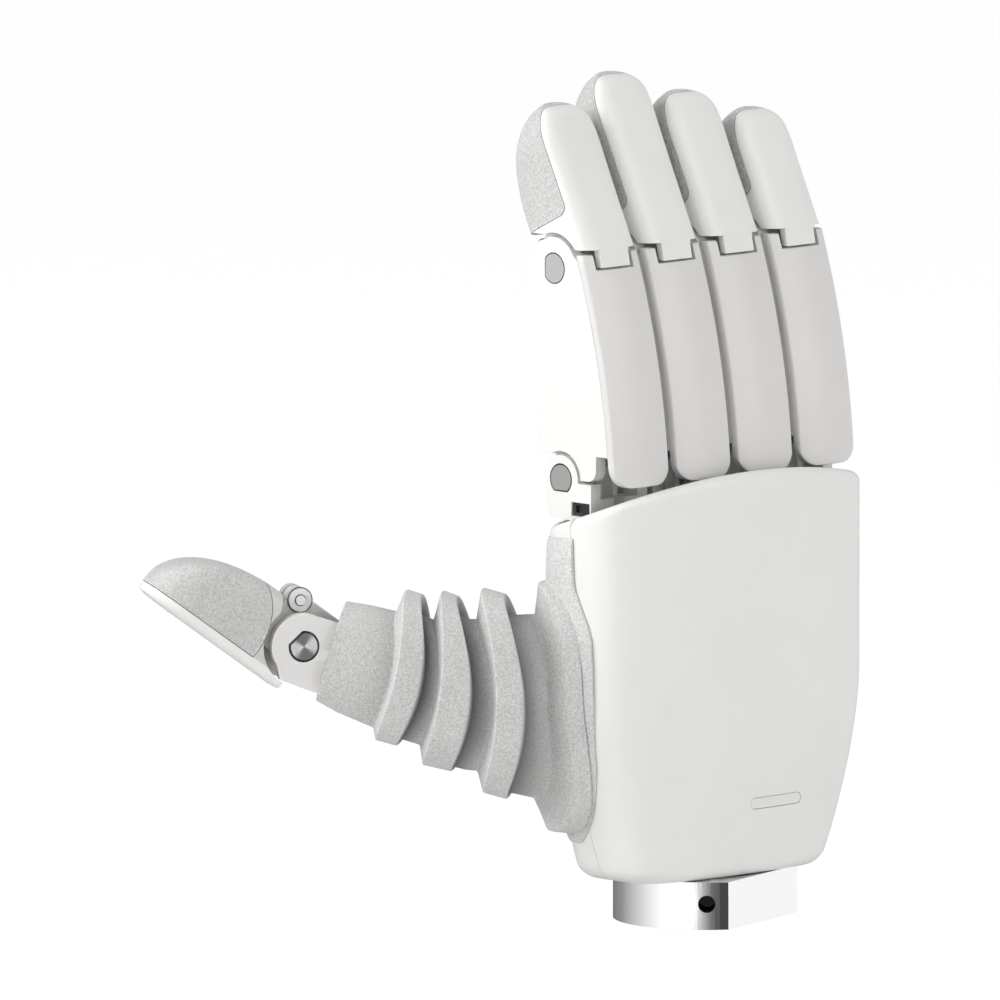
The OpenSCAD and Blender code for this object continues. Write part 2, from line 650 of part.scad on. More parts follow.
module thumb_carrier() {
    inner = thumb_half - ear_t;
    color(light) {
        difference() {
            union() {
                translate([swing_at[0], swing_at[1], 0]) {
                    translate([0, 0, 39.2]) cylinder(r = 6.5, h = 30.1);
                    translate([0, 0, 36.2]) cylinder(r = 3, h = 36);
                    rotate([0, 0, 90 - thumb_yaw]) translate([-5.5, 2, 43]) cube([11, 14, 20]);
                }
                thumb() difference() {
                    across(-thumb_half, thumb_half) {
                        circle(6.4);
                        translate([-6.4, -9]) square([12.8, 9]);
                        translate([-8, -16]) square([16, 7.5]);
                    }
                    across(-inner, inner) {
                        circle(7.6);
                        translate([-9, -5]) square([18, 20]);
                    }
                }
                thumb() {
                    for (s = [-1, 1]) across(min(s * lug_in, s * anchor_lug), max(s * lug_in, s * anchor_lug)) {
                        disc(thumb_anchor_at, 2.4);
                        bar(thumb_anchor_at, [-1.5, -10], 4.8);
                    }
                    rod_x(thumb_anchor_at, anchor_r, -anchor_lug, anchor_lug);
                }
            }
            thumb() {
                rod_x([0, 0], pin_r, -thumb_half - 1, -inner + 1);
                rod_x([0, 0], pin_r, inner - 1, thumb_half + 1);
                across(-lug_in, lug_in) translate([-7, -8.5]) square([14, 6]);
            }
        }
    }
}

module thumb_pivots() {
    color(steel) thumb() for (s = [-1, 1])
        rod_x([0, 0], pin_r, min(s * (thumb_half - 0.3), s * (anchor_lug + 0.3)), max(s * (thumb_half - 0.3), s * (anchor_lug + 0.3)));
}

module thumb_link() {
    inner = thumb_half - ear_t;
    plate = anchor_lug + 0.3;
    color(light) thumb() difference() {
        union() {
            difference() {
                across(-thumb_half, thumb_half) {
                    disc(ip, link_ear_r + 0.3);
                    polygon([[-6.2, 11], [6.2, 11], [7, thumb_l - 9], [7.2, thumb_l - 2], [-5, thumb_l + 5],
                        [-8.6, thumb_l + 2.8], [-9.3, thumb_l - 6.8], [-6.4, thumb_l - 7.6]]);
                }
                across(-inner, inner) {
                    disc(ip, link_ear_r + 0.1);
                    translate([-1, thumb_l - 13.5]) square([20, 30]);
                    translate([-12, thumb_l - 2]) square([20, 20]);
                }
            }
            for (s = [-1, 1]) across(min(s * plate, s * (inner - side_gap)), max(s * plate, s * (inner - side_gap))) {
                circle(5.4);
                bar([0, 0], [0, 14], 10.4);
            }
        }
        across(-1.7, 1.7) polygon([[-7.8, 8], [4.8, 8], [7.6, 24], [7.6, thumb_l - 10.7], [-7, thumb_l - 10.7]]);
        across(-plate, plate) circle(9.9);
        rod_x([0, 0], pin_r + pin_gap, -thumb_half, thumb_half);
        rod_x(ip, pin_r, -thumb_half - 1, thumb_half + 1);
        head_pocket(ip, -thumb_half, 1, -1, 60);
        head_pocket(ip, thumb_half, 1, 1, 60);
    }
}

module thumb_pin() {
    color(steel) thumb() for (s = [-1, 1])
        stub_pin(ip, s, thumb_half, s < 0 ? -thumb_half + 1 : thumb_half - 1, 60);
}

module thumb_tip() {
    color(white) thumb() digit_tip(ip, thumb_tip_tilt, thumb_tip_len, thumb_half, -12.2, 7, link_ear_r + 0.3,
        thumb_crank_at, thumb_half);
}

module thumb_pad() {
    color(grey) thumb() translate([0, ip[0], ip[1]]) rotate([-thumb_tip_tilt, 0, 0]) intersection() {
        tip_form(thumb_tip_len, thumb_half, -12.2, 7);
        tip_pad_zone(-12.2, fit_gap, thumb_half);
    }
}

module thumb_coupler() {
    color(steel) thumb() digit_coupler(thumb_rod_foot, ip + thumb_crank_at, 0.6);
}

module thumb_crank() {
    color(steel) thumb() digit_crank(ip, thumb_crank_at, 1);
}

// the ribbed boot: each ring is [place along the thumb, offset, lean, half height, half depth]
boot_wall = 1.1;
boot_fall = 1.4;
root_half_h = 28.5;
root_half_w = 16;
function rib(z, y, lean, a, b, a1, a2) = [[z + 3.1, y - boot_fall, lean, a1, b - 4], [z + 2.2, y, lean, a, b],
    [z - 2.2, y, lean, a, b], [z - 3.1, y - boot_fall, lean, a2, b - 4]];
boot_upper = concat([[33, 0.3, 0, 11.5, 11], [27, 0, 0, 12.4, 11.1]], rib(17.3, 0.4, 6.5, 17.1, 15, 13.2, 14),
    rib(6.2, 0.6, 12.7, 19.8, 16.5, 14, 17), [[-0.4, -0.7, 15, 16.9, 13]]);
boot_lower = concat([[-0.8, -0.7, 15, 16.9, 13]], rib(-6.2, 1.3, 17.9, 23.5, 17.5, 17, 19.9));
function boot_ring(r, d) = [for (i = [0:35]) let (t = i * 10, c = cos(t), v = sin(t),
    x = (r[4] - d) * sign(c) * pow(abs(c), 0.62), h = (r[3] - d) * sign(v) * pow(abs(v), 0.62))
    thumb_pt(x, r[1] + h * cos(r[2]), r[0] + h * sin(r[2]))];
// where a line along the thumb's root leaves the palm: k is its place across, z its height
function leave(k, z) = let (dx = -cos(thumb_yaw), dy = sin(thumb_yaw), x0 = swing_at[0] + k * dy,
    y0 = swing_at[1] - k * dx, w = sec_w(z), q = palm_corner_r, ex = sec_x(z) - w,
    t1 = (ex - x0) / dx, t2 = (palm_t / 2 - y0) / dy, t = min(t1, t2), hit = [x0 + t * dx, y0 + t * dy],
    cp = corner_y(w, 400), rx = x0 - ex - q, ry = y0 - cp, m = rx * dx + ry * dy)
    hit[0] < ex + q && hit[1] > cp ? -m + sqrt(max(0, m * m - rx * rx - ry * ry + q * q)) : t;
function root_ring(off, a, b, d) = [for (i = [0:35]) let (t = i * 10, c = cos(t), v = sin(t),
    x = (b - d) * sign(c) * pow(abs(c), 0.8), z = 50 + (a - d) * sign(v) * pow(abs(v), 0.8),
    s = leave(-x, z) + off)
    [swing_at[0] - cos(thumb_yaw) * s - sin(thumb_yaw) * x, swing_at[1] + sin(thumb_yaw) * s - cos(thumb_yaw) * x, z]];

// the sleeve's flat end closes round the thumb's plate and its coupler rod
module thumb_boot() {
    top = boot_upper[0];
    color(grey) difference() {
        union() {
            tube([for (r = boot_upper) boot_ring(r, 0)], [for (r = boot_upper) boot_ring(r, boot_wall)]);
            loft([for (z = [top[0] - boot_wall, top[0]]) boot_ring([z, top[1], 0, top[3], top[4]], 0.05)], flip = true);
        }
        thumb() {
            translate([-thumb_half - 0.3, -6.8, top[0] - 5]) cube([thumb_w + 0.6, 14.2, 10]);
            translate([-1.7, 0, top[0] - 5]) cube([3.4, 9.6, 10]);
        }
    }
}

function root_rings(d) = [root_ring(6.5, 21.5, 15, d), root_ring(5.2, 28, root_half_w, d),
    root_ring(1.6, root_half_h, root_half_w, d)];

module thumb_boot_base() {
    color(grey) tube(concat([for (r = boot_lower) boot_ring(r, 0)], root_rings(0)),
        concat([for (r = boot_lower) boot_ring(r, boot_wall)], root_rings(boot_wall)));
}

module finger_motor(i) {
    color(steel) motor(-13 + 14.6 * i, -0.6, 38, 36);
}

module thumb_motor() {
    color(steel) motor(-25.5, 3, 20, 13);
}

wrist_flange();
flange_screws();
palm_frame();
back_cover();
palm_cover();
palm_pad();
status_lens();
cover_screws();
control_board();
finger_motor(0);  // index_motor
finger_motor(1);  // middle_motor
finger_motor(2);  // ring_motor
finger_motor(3);  // little_motor
thumb_motor();
service_port();
knuckle_pins();
finger_knuckle(0);  // index_knuckle
finger_link(0);  // index_link
finger_back(0);  // index_back
finger_pin(0);  // index_pin
finger_tip(0);  // index_tip
finger_pad(0);  // index_pad
finger_coupler(0);  // index_coupler
finger_crank(0);  // index_crank
finger_knuckle(1);  // middle_knuckle
finger_link(1);  // middle_link
finger_back(1);  // middle_back
finger_pin(1);  // middle_pin
finger_tip(1);  // middle_tip
finger_pad(1);  // middle_pad
finger_coupler(1);  // middle_coupler
finger_crank(1);  // middle_crank
finger_knuckle(2);  // ring_knuckle
finger_link(2);  // ring_link
finger_back(2);  // ring_back
finger_pin(2);  // ring_pin
finger_tip(2);  // ring_tip
finger_pad(2);  // ring_pad
finger_coupler(2);  // ring_coupler
finger_crank(2);  // ring_crank
finger_knuckle(3);  // little_knuckle
finger_link(3);  // little_link
finger_back(3);  // little_back
finger_pin(3);  // little_pin
finger_tip(3);  // little_tip
finger_pad(3);  // little_pad
finger_coupler(3);  // little_coupler
finger_crank(3);  // little_crank
thumb_skin();
thumb_boot_base();
thumb_boot();
thumb_carrier();
thumb_pivots();
thumb_link();
thumb_pin();
thumb_tip();
thumb_pad();
thumb_coupler();
thumb_crank();
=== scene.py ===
"""Looks of a right robot hand with coupled fingers, a boot-covered thumb and a wrist flange.

Everything is worked out in millimetres, in the frame of the CAD part, and put into the
meshes in metres.
"""

import json
import math

import bmesh
import bpy
import numpy as np
from mathutils import Matrix, Vector


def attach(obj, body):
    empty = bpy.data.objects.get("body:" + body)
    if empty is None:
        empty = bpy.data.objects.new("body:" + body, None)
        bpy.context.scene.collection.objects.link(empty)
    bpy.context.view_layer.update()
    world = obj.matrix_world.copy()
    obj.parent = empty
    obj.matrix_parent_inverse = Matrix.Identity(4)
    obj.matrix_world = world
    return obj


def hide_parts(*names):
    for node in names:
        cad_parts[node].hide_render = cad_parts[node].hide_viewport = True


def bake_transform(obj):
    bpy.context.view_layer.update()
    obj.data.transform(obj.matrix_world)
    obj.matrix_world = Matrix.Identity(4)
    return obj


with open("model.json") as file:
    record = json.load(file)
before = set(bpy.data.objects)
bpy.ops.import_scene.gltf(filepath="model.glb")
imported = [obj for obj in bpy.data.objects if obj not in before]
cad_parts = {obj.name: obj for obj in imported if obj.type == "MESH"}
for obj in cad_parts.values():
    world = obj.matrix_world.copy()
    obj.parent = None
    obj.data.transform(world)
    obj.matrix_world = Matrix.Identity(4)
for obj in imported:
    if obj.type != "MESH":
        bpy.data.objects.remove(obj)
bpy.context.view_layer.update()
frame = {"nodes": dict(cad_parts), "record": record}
BODY_OF = {n: b for b, ns in frame["record"]["behaviour"]["bodies"].items() for n in ns}
MATERIALS = {}

bl_info = {
    "name": "Robot Hand Looks",
    "version": (1, 0, 0),
    "blender": (4, 5, 0),
    "location": "3D View > Sidebar > Robot Hand",
    "description": "Builds the finished surfaces, materials and studio of a robot hand",
    "category": "Object",
}

MM = 0.001
FINGERS = ("index", "middle", "ring", "little")

# ---------- sizes shared with the part's source, in millimetres and degrees ----------

# the palm's section, its crowned faces, its ends and its taper
PALM_HALF_W, PALM_T, CORNER_R, PALM_WALL = 41.7, 30.0, 10.0, 2.0
BACK_CROWN_R, PALM_CROWN_R, PARTING_Y = 167.0, 400.0, 1.2
PALM_Z0, RIM_Z, RIM_ARCH, TAPER_Z = 10.8, 101.7, 3.4, 55.0
TAPER_ULNAR, TAPER_RADIAL = 14.4, 10.4
FOOT_R, BACK_RIM_R, PALM_RIM_R = 3.5, 2.2, 1.2
# the status lens, the flange's bore and screw hole, and the cover's screws with the radius and
# the span in depth of their counterbores and holes
LENS_L, LENS_H, LENS_Z, LENS_X, LENS_DEEP, LENS_GAP = 16.2, 2.4, 27.0, 6.9, 1.2, 0.12
FLANGE_HOLE_Z, FLANGE_HOLE_R, FLANGE_BORE_R = 5.8, 1.96, 12.07
COVER_SCREWS = ((-17.6, 20), (-17.6, 81), (17.6, 20), (17.6, 81))
COVER_DRILLS = ((2.05, 13.3, 17.5), (1.1, 10.5, 14.0))
# the fingers: pitch, half width and knuckle height, then the joints in a finger's side view
FINGER_PITCH, HALF_W, MCP_Z = 19.3, 8.75, 101.3
PIP, TIP_TILT, EAR_R = (10.7, 47.1), 26.0, 7.0
CRANK_AT, LUG_IN, LUG_OUT, EAR_T, SIDE_GAP = (7.5, 2.8), 1.6, 4.2, 3.0, 0.3
TIP_LEN, TIP_BACK, TIP_FACE = (36.4, 42.2, 36.2, 30.4), -11.2, 6
PIN_R, PIN_GAP, CRANK_R, CRANK_HALF = 1.5, 0.05, 1.15, 5.1
PAD_BORDER, PAD_LOW, PAD_GAP, FLAP_W = 2.3, 9.7, 0.16, 8.8
# the retaining clips, with the washer under each and the flat head at the pin's other end
CLIP_R, CLIP_OPEN, CLIP_SPAN, WASHER_R, HEAD_R = 2.6, 38, (4.25, 4.85), 2.9, 2
# the clips' tone, and the radii in metres of the rings painted dark as shade, in the gap between pin and
# clip and round the clip's edge
CLIP_TONE, CLIP_SHADE_RIMS = (0.80, 0.80, 0.79), ((0.00112, 0.00135), (0.00264, 0.004))
# the thumb: its swing axis, its root's place, its outer joint and its tip
THUMB_YAW, THUMB_TILT, SWING_AT = 29.0, 17.4, (-31.0, 6.0)
THUMB_M, THUMB_L, THUMB_HALF = (-55.8, 19.8, 54.3), 41.7, 9.0
THUMB_CRANK_AT, THUMB_TIP_TILT, THUMB_TIP_LEN = (9.5, 2.7), 19.0, 36.4
THUMB_PAD_AT, THUMB_PAD_R, THUMB_BACK, THUMB_FACE = (-7.0, 26.0), 18.0, -10.9, 7
NAIL_T = 2.4
# the window that the thumb's carrier swings in: half width, sweep, and reach below and above
WINDOW_HALF, WINDOW_SWEEP, WINDOW_BELOW, WINDOW_ABOVE = 11.0, 52, 24, 16
# the thumb's skin: the places of its borders' corners along the shell, and their heights
SKIN_TOP = ((-0.744, -0.72, -0.664, -0.486, -0.195, 0.2, 0.3, 0.36, 1, 2.8),
            (53, 61, 66.7, 70, 73.3, 77.6, 81, 89, 89, 86.8))
SKIN_FOOT = ((-0.744, -0.70, -0.628, -0.496, -0.246, 0.108, 0.472, 0.887, 1.05, 2.8),
             (52, 48, 44, 37.2, 32.5, 27.7, 24, 20.6, 19.5, 18))
SKIN_LIFT, SKIN_T = 0.2, 0.75
# the boot: wall, fall of the valleys, skew, and its root's middle and half width there
BOOT_WALL, BOOT_FALL, BOOT_SKEW = 1.1, 1.4, 0.35
ROOT_Z, ROOT_HALF = 50, 16

YAW = (math.cos(math.radians(THUMB_YAW)), math.sin(math.radians(THUMB_YAW)))
TILT = (math.cos(math.radians(THUMB_TILT)), math.sin(math.radians(THUMB_TILT)))


# ---------- settings ----------


class HandLooks(bpy.types.PropertyGroup):
    """Colours and finishes of the hand."""

    white: bpy.props.FloatVectorProperty(
        name="White plastic", description="Colour of the shells and fingers",
        subtype="COLOR", size=3, min=0, max=1, default=(0.84, 0.835, 0.815))
    cover: bpy.props.FloatVectorProperty(
        name="Finger covers", description="Colour of the covers on the backs of the fingers",
        subtype="COLOR", size=3, min=0, max=1, default=(0.72, 0.71, 0.70))
    elastomer: bpy.props.FloatVectorProperty(
        name="Elastomer", description="Colour of the boot, the pads and the thumb's skin",
        subtype="COLOR", size=3, min=0, max=1, default=(0.56, 0.555, 0.55))
    plate: bpy.props.FloatVectorProperty(
        name="Thumb plates", description="Colour of the thumb's smooth side plates",
        subtype="COLOR", size=3, min=0, max=1, default=(0.76, 0.75, 0.735))
    steel: bpy.props.FloatVectorProperty(
        name="Steel", description="Colour of the polished and turned steel",
        subtype="COLOR", size=3, min=0, max=1, default=(0.88, 0.88, 0.89))
    edge: bpy.props.FloatProperty(
        name="Edge rounding", description="Radius of the broken edges on the rigid pieces",
        subtype="DISTANCE", unit="LENGTH", min=0, max=0.001, default=0.00022)
    grain: bpy.props.FloatProperty(
        name="Grain size", description="Size of the grain in the elastomer",
        subtype="DISTANCE", unit="LENGTH", min=0.0001, max=0.002, default=0.00045)
    rib_round: bpy.props.FloatProperty(
        name="Rib rounding", description="How softly the boot's ribs are rounded",
        subtype="DISTANCE", unit="LENGTH", min=0, max=0.002, default=0.00028)


class StudioSettings(bpy.types.PropertyGroup):
    """Camera, lights and floor."""

    azimuth: bpy.props.FloatProperty(
        name="Azimuth", description="Direction of the camera round the hand",
        subtype="ANGLE", unit="ROTATION", default=math.radians(-44))
    elevation: bpy.props.FloatProperty(
        name="Elevation", description="Height of the camera's direction",
        subtype="ANGLE", unit="ROTATION", default=math.radians(7.4))
    lens: bpy.props.FloatProperty(
        name="Lens", description="Focal length of the camera, in millimetres",
        min=50, max=2000, default=1200)
    view_width: bpy.props.FloatProperty(
        name="View width", description="Width that the picture shows at the hand",
        subtype="DISTANCE", unit="LENGTH", default=1000 / 4.47 * MM)
    key: bpy.props.FloatProperty(
        name="Key light", description="Power of the lamp on the left, in watts", min=0, default=10.0)
    fill: bpy.props.FloatProperty(
        name="Fill light", description="Power of the lamp on the right, in watts", min=0, default=4.0)
    top: bpy.props.FloatProperty(
        name="Top light", description="Power of the lamp overhead, in watts", min=0, default=1.6)
    ambient: bpy.props.FloatProperty(
        name="Ambient", description="Strength of the light from all round", min=0, default=0.38)


# ---------- shader maths ----------


def operator(operation, swapped=False):
    """A method that adds a Math node for one of Python's operators."""
    def method(self, other):
        return self.maths(operation, *((other, self) if swapped else (self, other)))
    return method


class Value:
    """A shader number; Python's operators on it add Math nodes."""

    __add__, __radd__ = operator("ADD"), operator("ADD", True)
    __sub__, __rsub__ = operator("SUBTRACT"), operator("SUBTRACT", True)
    __mul__, __rmul__ = operator("MULTIPLY"), operator("MULTIPLY", True)
    __truediv__, __pow__ = operator("DIVIDE"), operator("POWER")

    def __init__(self, graph, socket):
        self.graph = graph
        self.socket = socket

    def maths(self, operation, *values):
        return self.graph.node("ShaderNodeMath", {"operation": operation}, dict(enumerate(values)))

    def hypot(self, other):
        """Length of the right triangle's long side over two values."""
        return (self * self + other * other) ** 0.5

    def sine(self):
        return self.maths("SINE", self)

    def angle(self, across):
        """Angle, in radians, of the direction whose other part is across."""
        return self.maths("ARCTAN2", self, across)

    def step(self, low, high):
        """Rises smoothly from 0 at low to 1 at high."""
        return self.graph.node(
            "ShaderNodeMapRange", {"interpolation_type": "SMOOTHSTEP"},
            {"Value": self, "From Min": low, "From Max": high, "To Min": 0.0, "To Max": 1.0})

    def soft(self, edge, half):
        """Rises from 0 to 1 across an edge, over half its width on either side."""
        return self.step(edge - half, edge + half)


class Graph:
    """The nodes of a material or a world, with one method that adds any node."""

    def __init__(self, name, world=False):
        self.material = bpy.data.worlds.new(name) if world else bpy.data.materials.new(name)
        self.material.use_nodes = True
        self.tree = self.material.node_tree
        self.tree.nodes.clear()
        kind = "ShaderNodeOutputWorld" if world else "ShaderNodeOutputMaterial"
        self.output = self.tree.nodes.new(kind)

    def link(self, value, socket):
        """Puts a value, number, vector or colour into a socket."""
        if isinstance(value, Value):
            self.tree.links.new(value.socket, socket)
        else:
            socket.default_value = value

    def node(self, kind, settings=None, inputs=None, out=0, stops=None):
        """Adds a node: its settings first, then its sockets' values or links."""
        made = self.tree.nodes.new(kind)
        for key, value in (settings or {}).items():
            setattr(made, key, value)
        if stops:
            ramp = made.color_ramp
            while len(ramp.elements) < len(stops):
                ramp.elements.new(1.0)
            for element, (place, colour) in zip(ramp.elements, stops):
                element.position = place
                element.color = (*colour, 1.0) if len(colour) == 3 else colour
        for key, value in (inputs or {}).items():
            self.link(value, made.inputs[key])
        return Value(self, made.outputs[out])

    def place(self):
        return self.node("ShaderNodeTexCoord", out="Object")

    def axes(self, vector):
        """The three numbers of a vector."""
        made = self.tree.nodes.new("ShaderNodeSeparateXYZ")
        self.link(vector, made.inputs[0])
        return [Value(self, s) for s in made.outputs]

    def moved(self, vector, rotation=(0, 0, 0), scale=(1, 1, 1)):
        return self.node("ShaderNodeMapping", None, {
            "Vector": vector, "Rotation": rotation, "Scale": scale})

    def vector_math(self, operation, *vectors, out=0):
        return self.node("ShaderNodeVectorMath", {"operation": operation},
                         dict(enumerate(vectors)), out)

    def dot(self, vector, axis):
        """How far a vector reaches along an axis."""
        return self.vector_math("DOT_PRODUCT", vector, axis, out="Value")

    def rays(self):
        """Whether a ray comes from the camera, and whether it is a reflection."""
        made = self.tree.nodes.new("ShaderNodeLightPath")
        return [Value(self, made.outputs[key]) for key in ("Is Camera Ray", "Is Glossy Ray")]

    def noise(self, vector, size, detail=3.0, roughness=0.5):
        """Noise whose features are about size metres across."""
        return self.node("ShaderNodeTexNoise", None, {
            "Vector": vector, "Scale": 1.0 / size, "Detail": detail, "Roughness": roughness})

    def cells(self, vector, size):
        return self.node("ShaderNodeTexVoronoi", None, {"Vector": vector, "Scale": 1.0 / size})

    def colour(self, factor, low, high):
        """A colour between two, by a factor."""
        return self.node(
            "ShaderNodeMix", {"data_type": "RGBA", "clamp_factor": True},
            {0: factor, 6: (*low, 1.0) if not isinstance(low, Value) else low,
             7: (*high, 1.0) if not isinstance(high, Value) else high}, out=2)

    def bump(self, height, strength, distance):
        return self.node("ShaderNodeBump", None, {
            "Height": height, "Strength": strength, "Distance": distance})

    def output_shader(self, shader):
        self.tree.links.new(shader.socket, self.output.inputs["Surface"])

    def principled(self, inputs):
        self.output_shader(self.node("ShaderNodeBsdfPrincipled", None, inputs))
        return self.material


def shade(colour, factor):
    """A colour made lighter or darker."""
    return tuple(min(1.0, c * factor) for c in colour[:3])


def plastic(name, colour, rough=0.38, orange_peel=0.02):
    """Moulded satin plastic: faint clouding, fine spark texture and a little orange peel."""
    g = Graph(name)
    at = g.place()
    cloud = g.noise(at, 0.022, 2.0)
    fine = g.noise(at, 0.00035, 2.0, 0.6)
    wave = g.noise(at, 0.004, 1.0)
    tint = g.colour(cloud.step(0.3, 0.7), shade(colour, 0.985), shade(colour, 1.012))
    height = fine * 0.35 + wave * orange_peel * 10
    return g.principled({
        "Base Color": tint, "Roughness": rough + fine * 0.08 - 0.04,
        "Normal": g.bump(height, 0.10, 0.00006), "IOR": 1.46})


def rubber(name, colour, grain, rough=0.62, valleys=False):
    """Matte elastomer with a fine pebbled grain and speckles of lighter and darker tone. A ribbed
    piece is smoother down in its valleys and darker there by painted shade, both by its depth
    attribute."""
    g = Graph(name)
    at = g.place()
    fine = g.noise(at, grain, 3.0, 0.7)
    pebble = g.cells(at, grain * 1.2)
    cloud = g.noise(at, 0.012, 2.0)
    mask = fine.step(0.36, 0.64) * 0.85 + cloud.step(0.3, 0.7) * 0.15
    height = fine + (1 - pebble) * 0.6
    tint = g.colour(mask, shade(colour, 0.78), shade(colour, 1.16))
    if valleys:
        # painted shade: the depth attribute darkens the valleys towards a fifth of the colour, and
        # smooths their grain
        depth = g.node("ShaderNodeAttribute", {"attribute_name": "depth"}, out="Fac")
        height = height * (1 - depth * 0.8)
        tint = g.colour(depth, tint, shade(colour, 0.2))
    return g.principled({
        "Base Color": tint, "Roughness": rough + fine * 0.16 - 0.08,
        "Normal": g.bump(height, 0.6, 0.0002), "Sheen Weight": 0.1, "Sheen Roughness": 0.4})


def brushed(name, colour, rough=0.3, stretch=(1, 1, 0.02), size=0.0004, streak=0.12):
    """Steel with fine streaks along one direction."""
    g = Graph(name)
    at = g.place()
    lines = g.noise(g.moved(at, scale=stretch), size, 3.0, 0.6)
    smudge = g.noise(at, 0.006, 2.0)
    tint = g.colour(lines.step(0.3, 0.7), shade(colour, 0.93), shade(colour, 1.05))
    return g.principled({
        "Base Color": tint, "Metallic": 1.0,
        "Roughness": rough + lines * streak + smudge * 0.08 - (streak + 0.08) / 2,
        "Normal": g.bump(lines, 0.12, 0.00003)})


def turned(name, colour, centre, turn):
    """Steel faced on a lathe: fine rings about the pin's axis, and a painted reflection: a fan of
    light and shade painted into the colour by the angle round the axis.
    """
    g = Graph(name)
    at = g.vector_math("SUBTRACT", g.place(), centre)
    x, y, _ = g.axes(g.moved(at, rotation=turn))
    ring = 0.00016
    rings = (x.hypot(y) * (2 * math.pi / ring)).sine() * 0.5 + 0.5
    wobble = g.noise(at, 0.0006, 2.0)
    # painted reflection: the fan's light and shade follow the angle round the pin's axis
    fan = (y.angle(x) * 2.0 + 0.9).sine() * 0.5 + 0.5
    tint = g.colour(fan.step(0.15, 0.85), shade(colour, 0.32), shade(colour, 1.15))
    return g.principled({
        "Base Color": tint, "Metallic": 1.0, "Roughness": wobble * 0.1 + 0.19,
        "Normal": g.bump(rings, 0.25, 0.00002)})


def flange_steel(name, colour):
    """Polished steel with faint streaks round it; the bore and the screw hole that faces the
    back of the hand are painted dark and matte inside, as painted shade."""
    g = Graph(name)
    at = g.place()
    lines = g.noise(g.moved(at, scale=(0.2, 0.2, 14)), 0.003, 3.0, 0.6)
    x, y, z = g.axes(at)
    out, side = (x + y) * -math.sqrt(0.5), (x - y) * math.sqrt(0.5)
    reach = side.hypot(z - FLANGE_HOLE_Z * MM)
    # painted shade inside the screw hole and the bore
    near = (1 - reach.soft(FLANGE_HOLE_R * MM, 0.00002)) * out.step(0.005, 0.006)
    bore = 1 - x.hypot(y).soft(FLANGE_BORE_R * MM, 0.00003)
    hole = 1 - (1 - near) * (1 - bore)
    return g.principled({
        "Base Color": g.colour(hole, colour[:3], (0.012, 0.012, 0.012)), "Metallic": 1 - hole,
        "Roughness": 0.09 + lines * 0.04 + hole * 0.5, "Normal": g.bump(lines, 0.06, 0.00002)})


def two_tone(name, colour, other, origin, across, edge):
    """Satin plastic that changes colour at a plane, edge metres from origin along across."""
    g = Graph(name)
    at = g.place()
    side = g.dot(g.vector_math("SUBTRACT", at, origin), across)
    fine = g.noise(at, 0.00035, 2.0, 0.6)
    return g.principled({
        "Base Color": g.colour(side.soft(edge, 0.0001), colour[:3], other[:3]),
        "Roughness": 0.36 + fine * 0.08, "Normal": g.bump(fine, 0.10, 0.00002), "IOR": 1.46})


def retained(name, colour, centre, axis, shade_rims):
    """Clip steel with painted shade: dark rings at given radii about the pin's axis, for the gap
    between pin and clip and the shadow round the clip.
    """
    g = Graph(name)
    at = g.place()
    far = g.vector_math("SUBTRACT", at, centre)
    along = g.dot(far, axis)
    length = g.vector_math("LENGTH", far, out="Value")
    radius = (length * length - along * along) ** 0.5
    # painted shade: near black between each pair of radii
    dark = sum(radius.soft(low, 0.00005) * (1 - radius.soft(high, 0.00005)) for low, high in shade_rims)
    return g.principled({
        "Base Color": g.colour(dark, colour, (0.05, 0.05, 0.05)), "Metallic": 0.0,
        "Roughness": 0.4 + g.noise(at, 0.0004) * 0.1})


def board(name):
    """Circuit board lacquer over copper tracks."""
    g = Graph(name)
    at = g.place()
    x, _, z = g.axes(at)
    tracks = ((x * 2600).sine() * (z * 1900).sine()).step(0.2, 0.35)
    cloud = g.noise(at, 0.004, 2.0)
    tint = g.colour(tracks * 0.7 + cloud * 0.2, (0.012, 0.09, 0.045), (0.05, 0.24, 0.12))
    return g.principled({
        "Base Color": tint, "Roughness": 0.3 + cloud * 0.2, "Normal": g.bump(tracks, 0.3, 0.00004)})


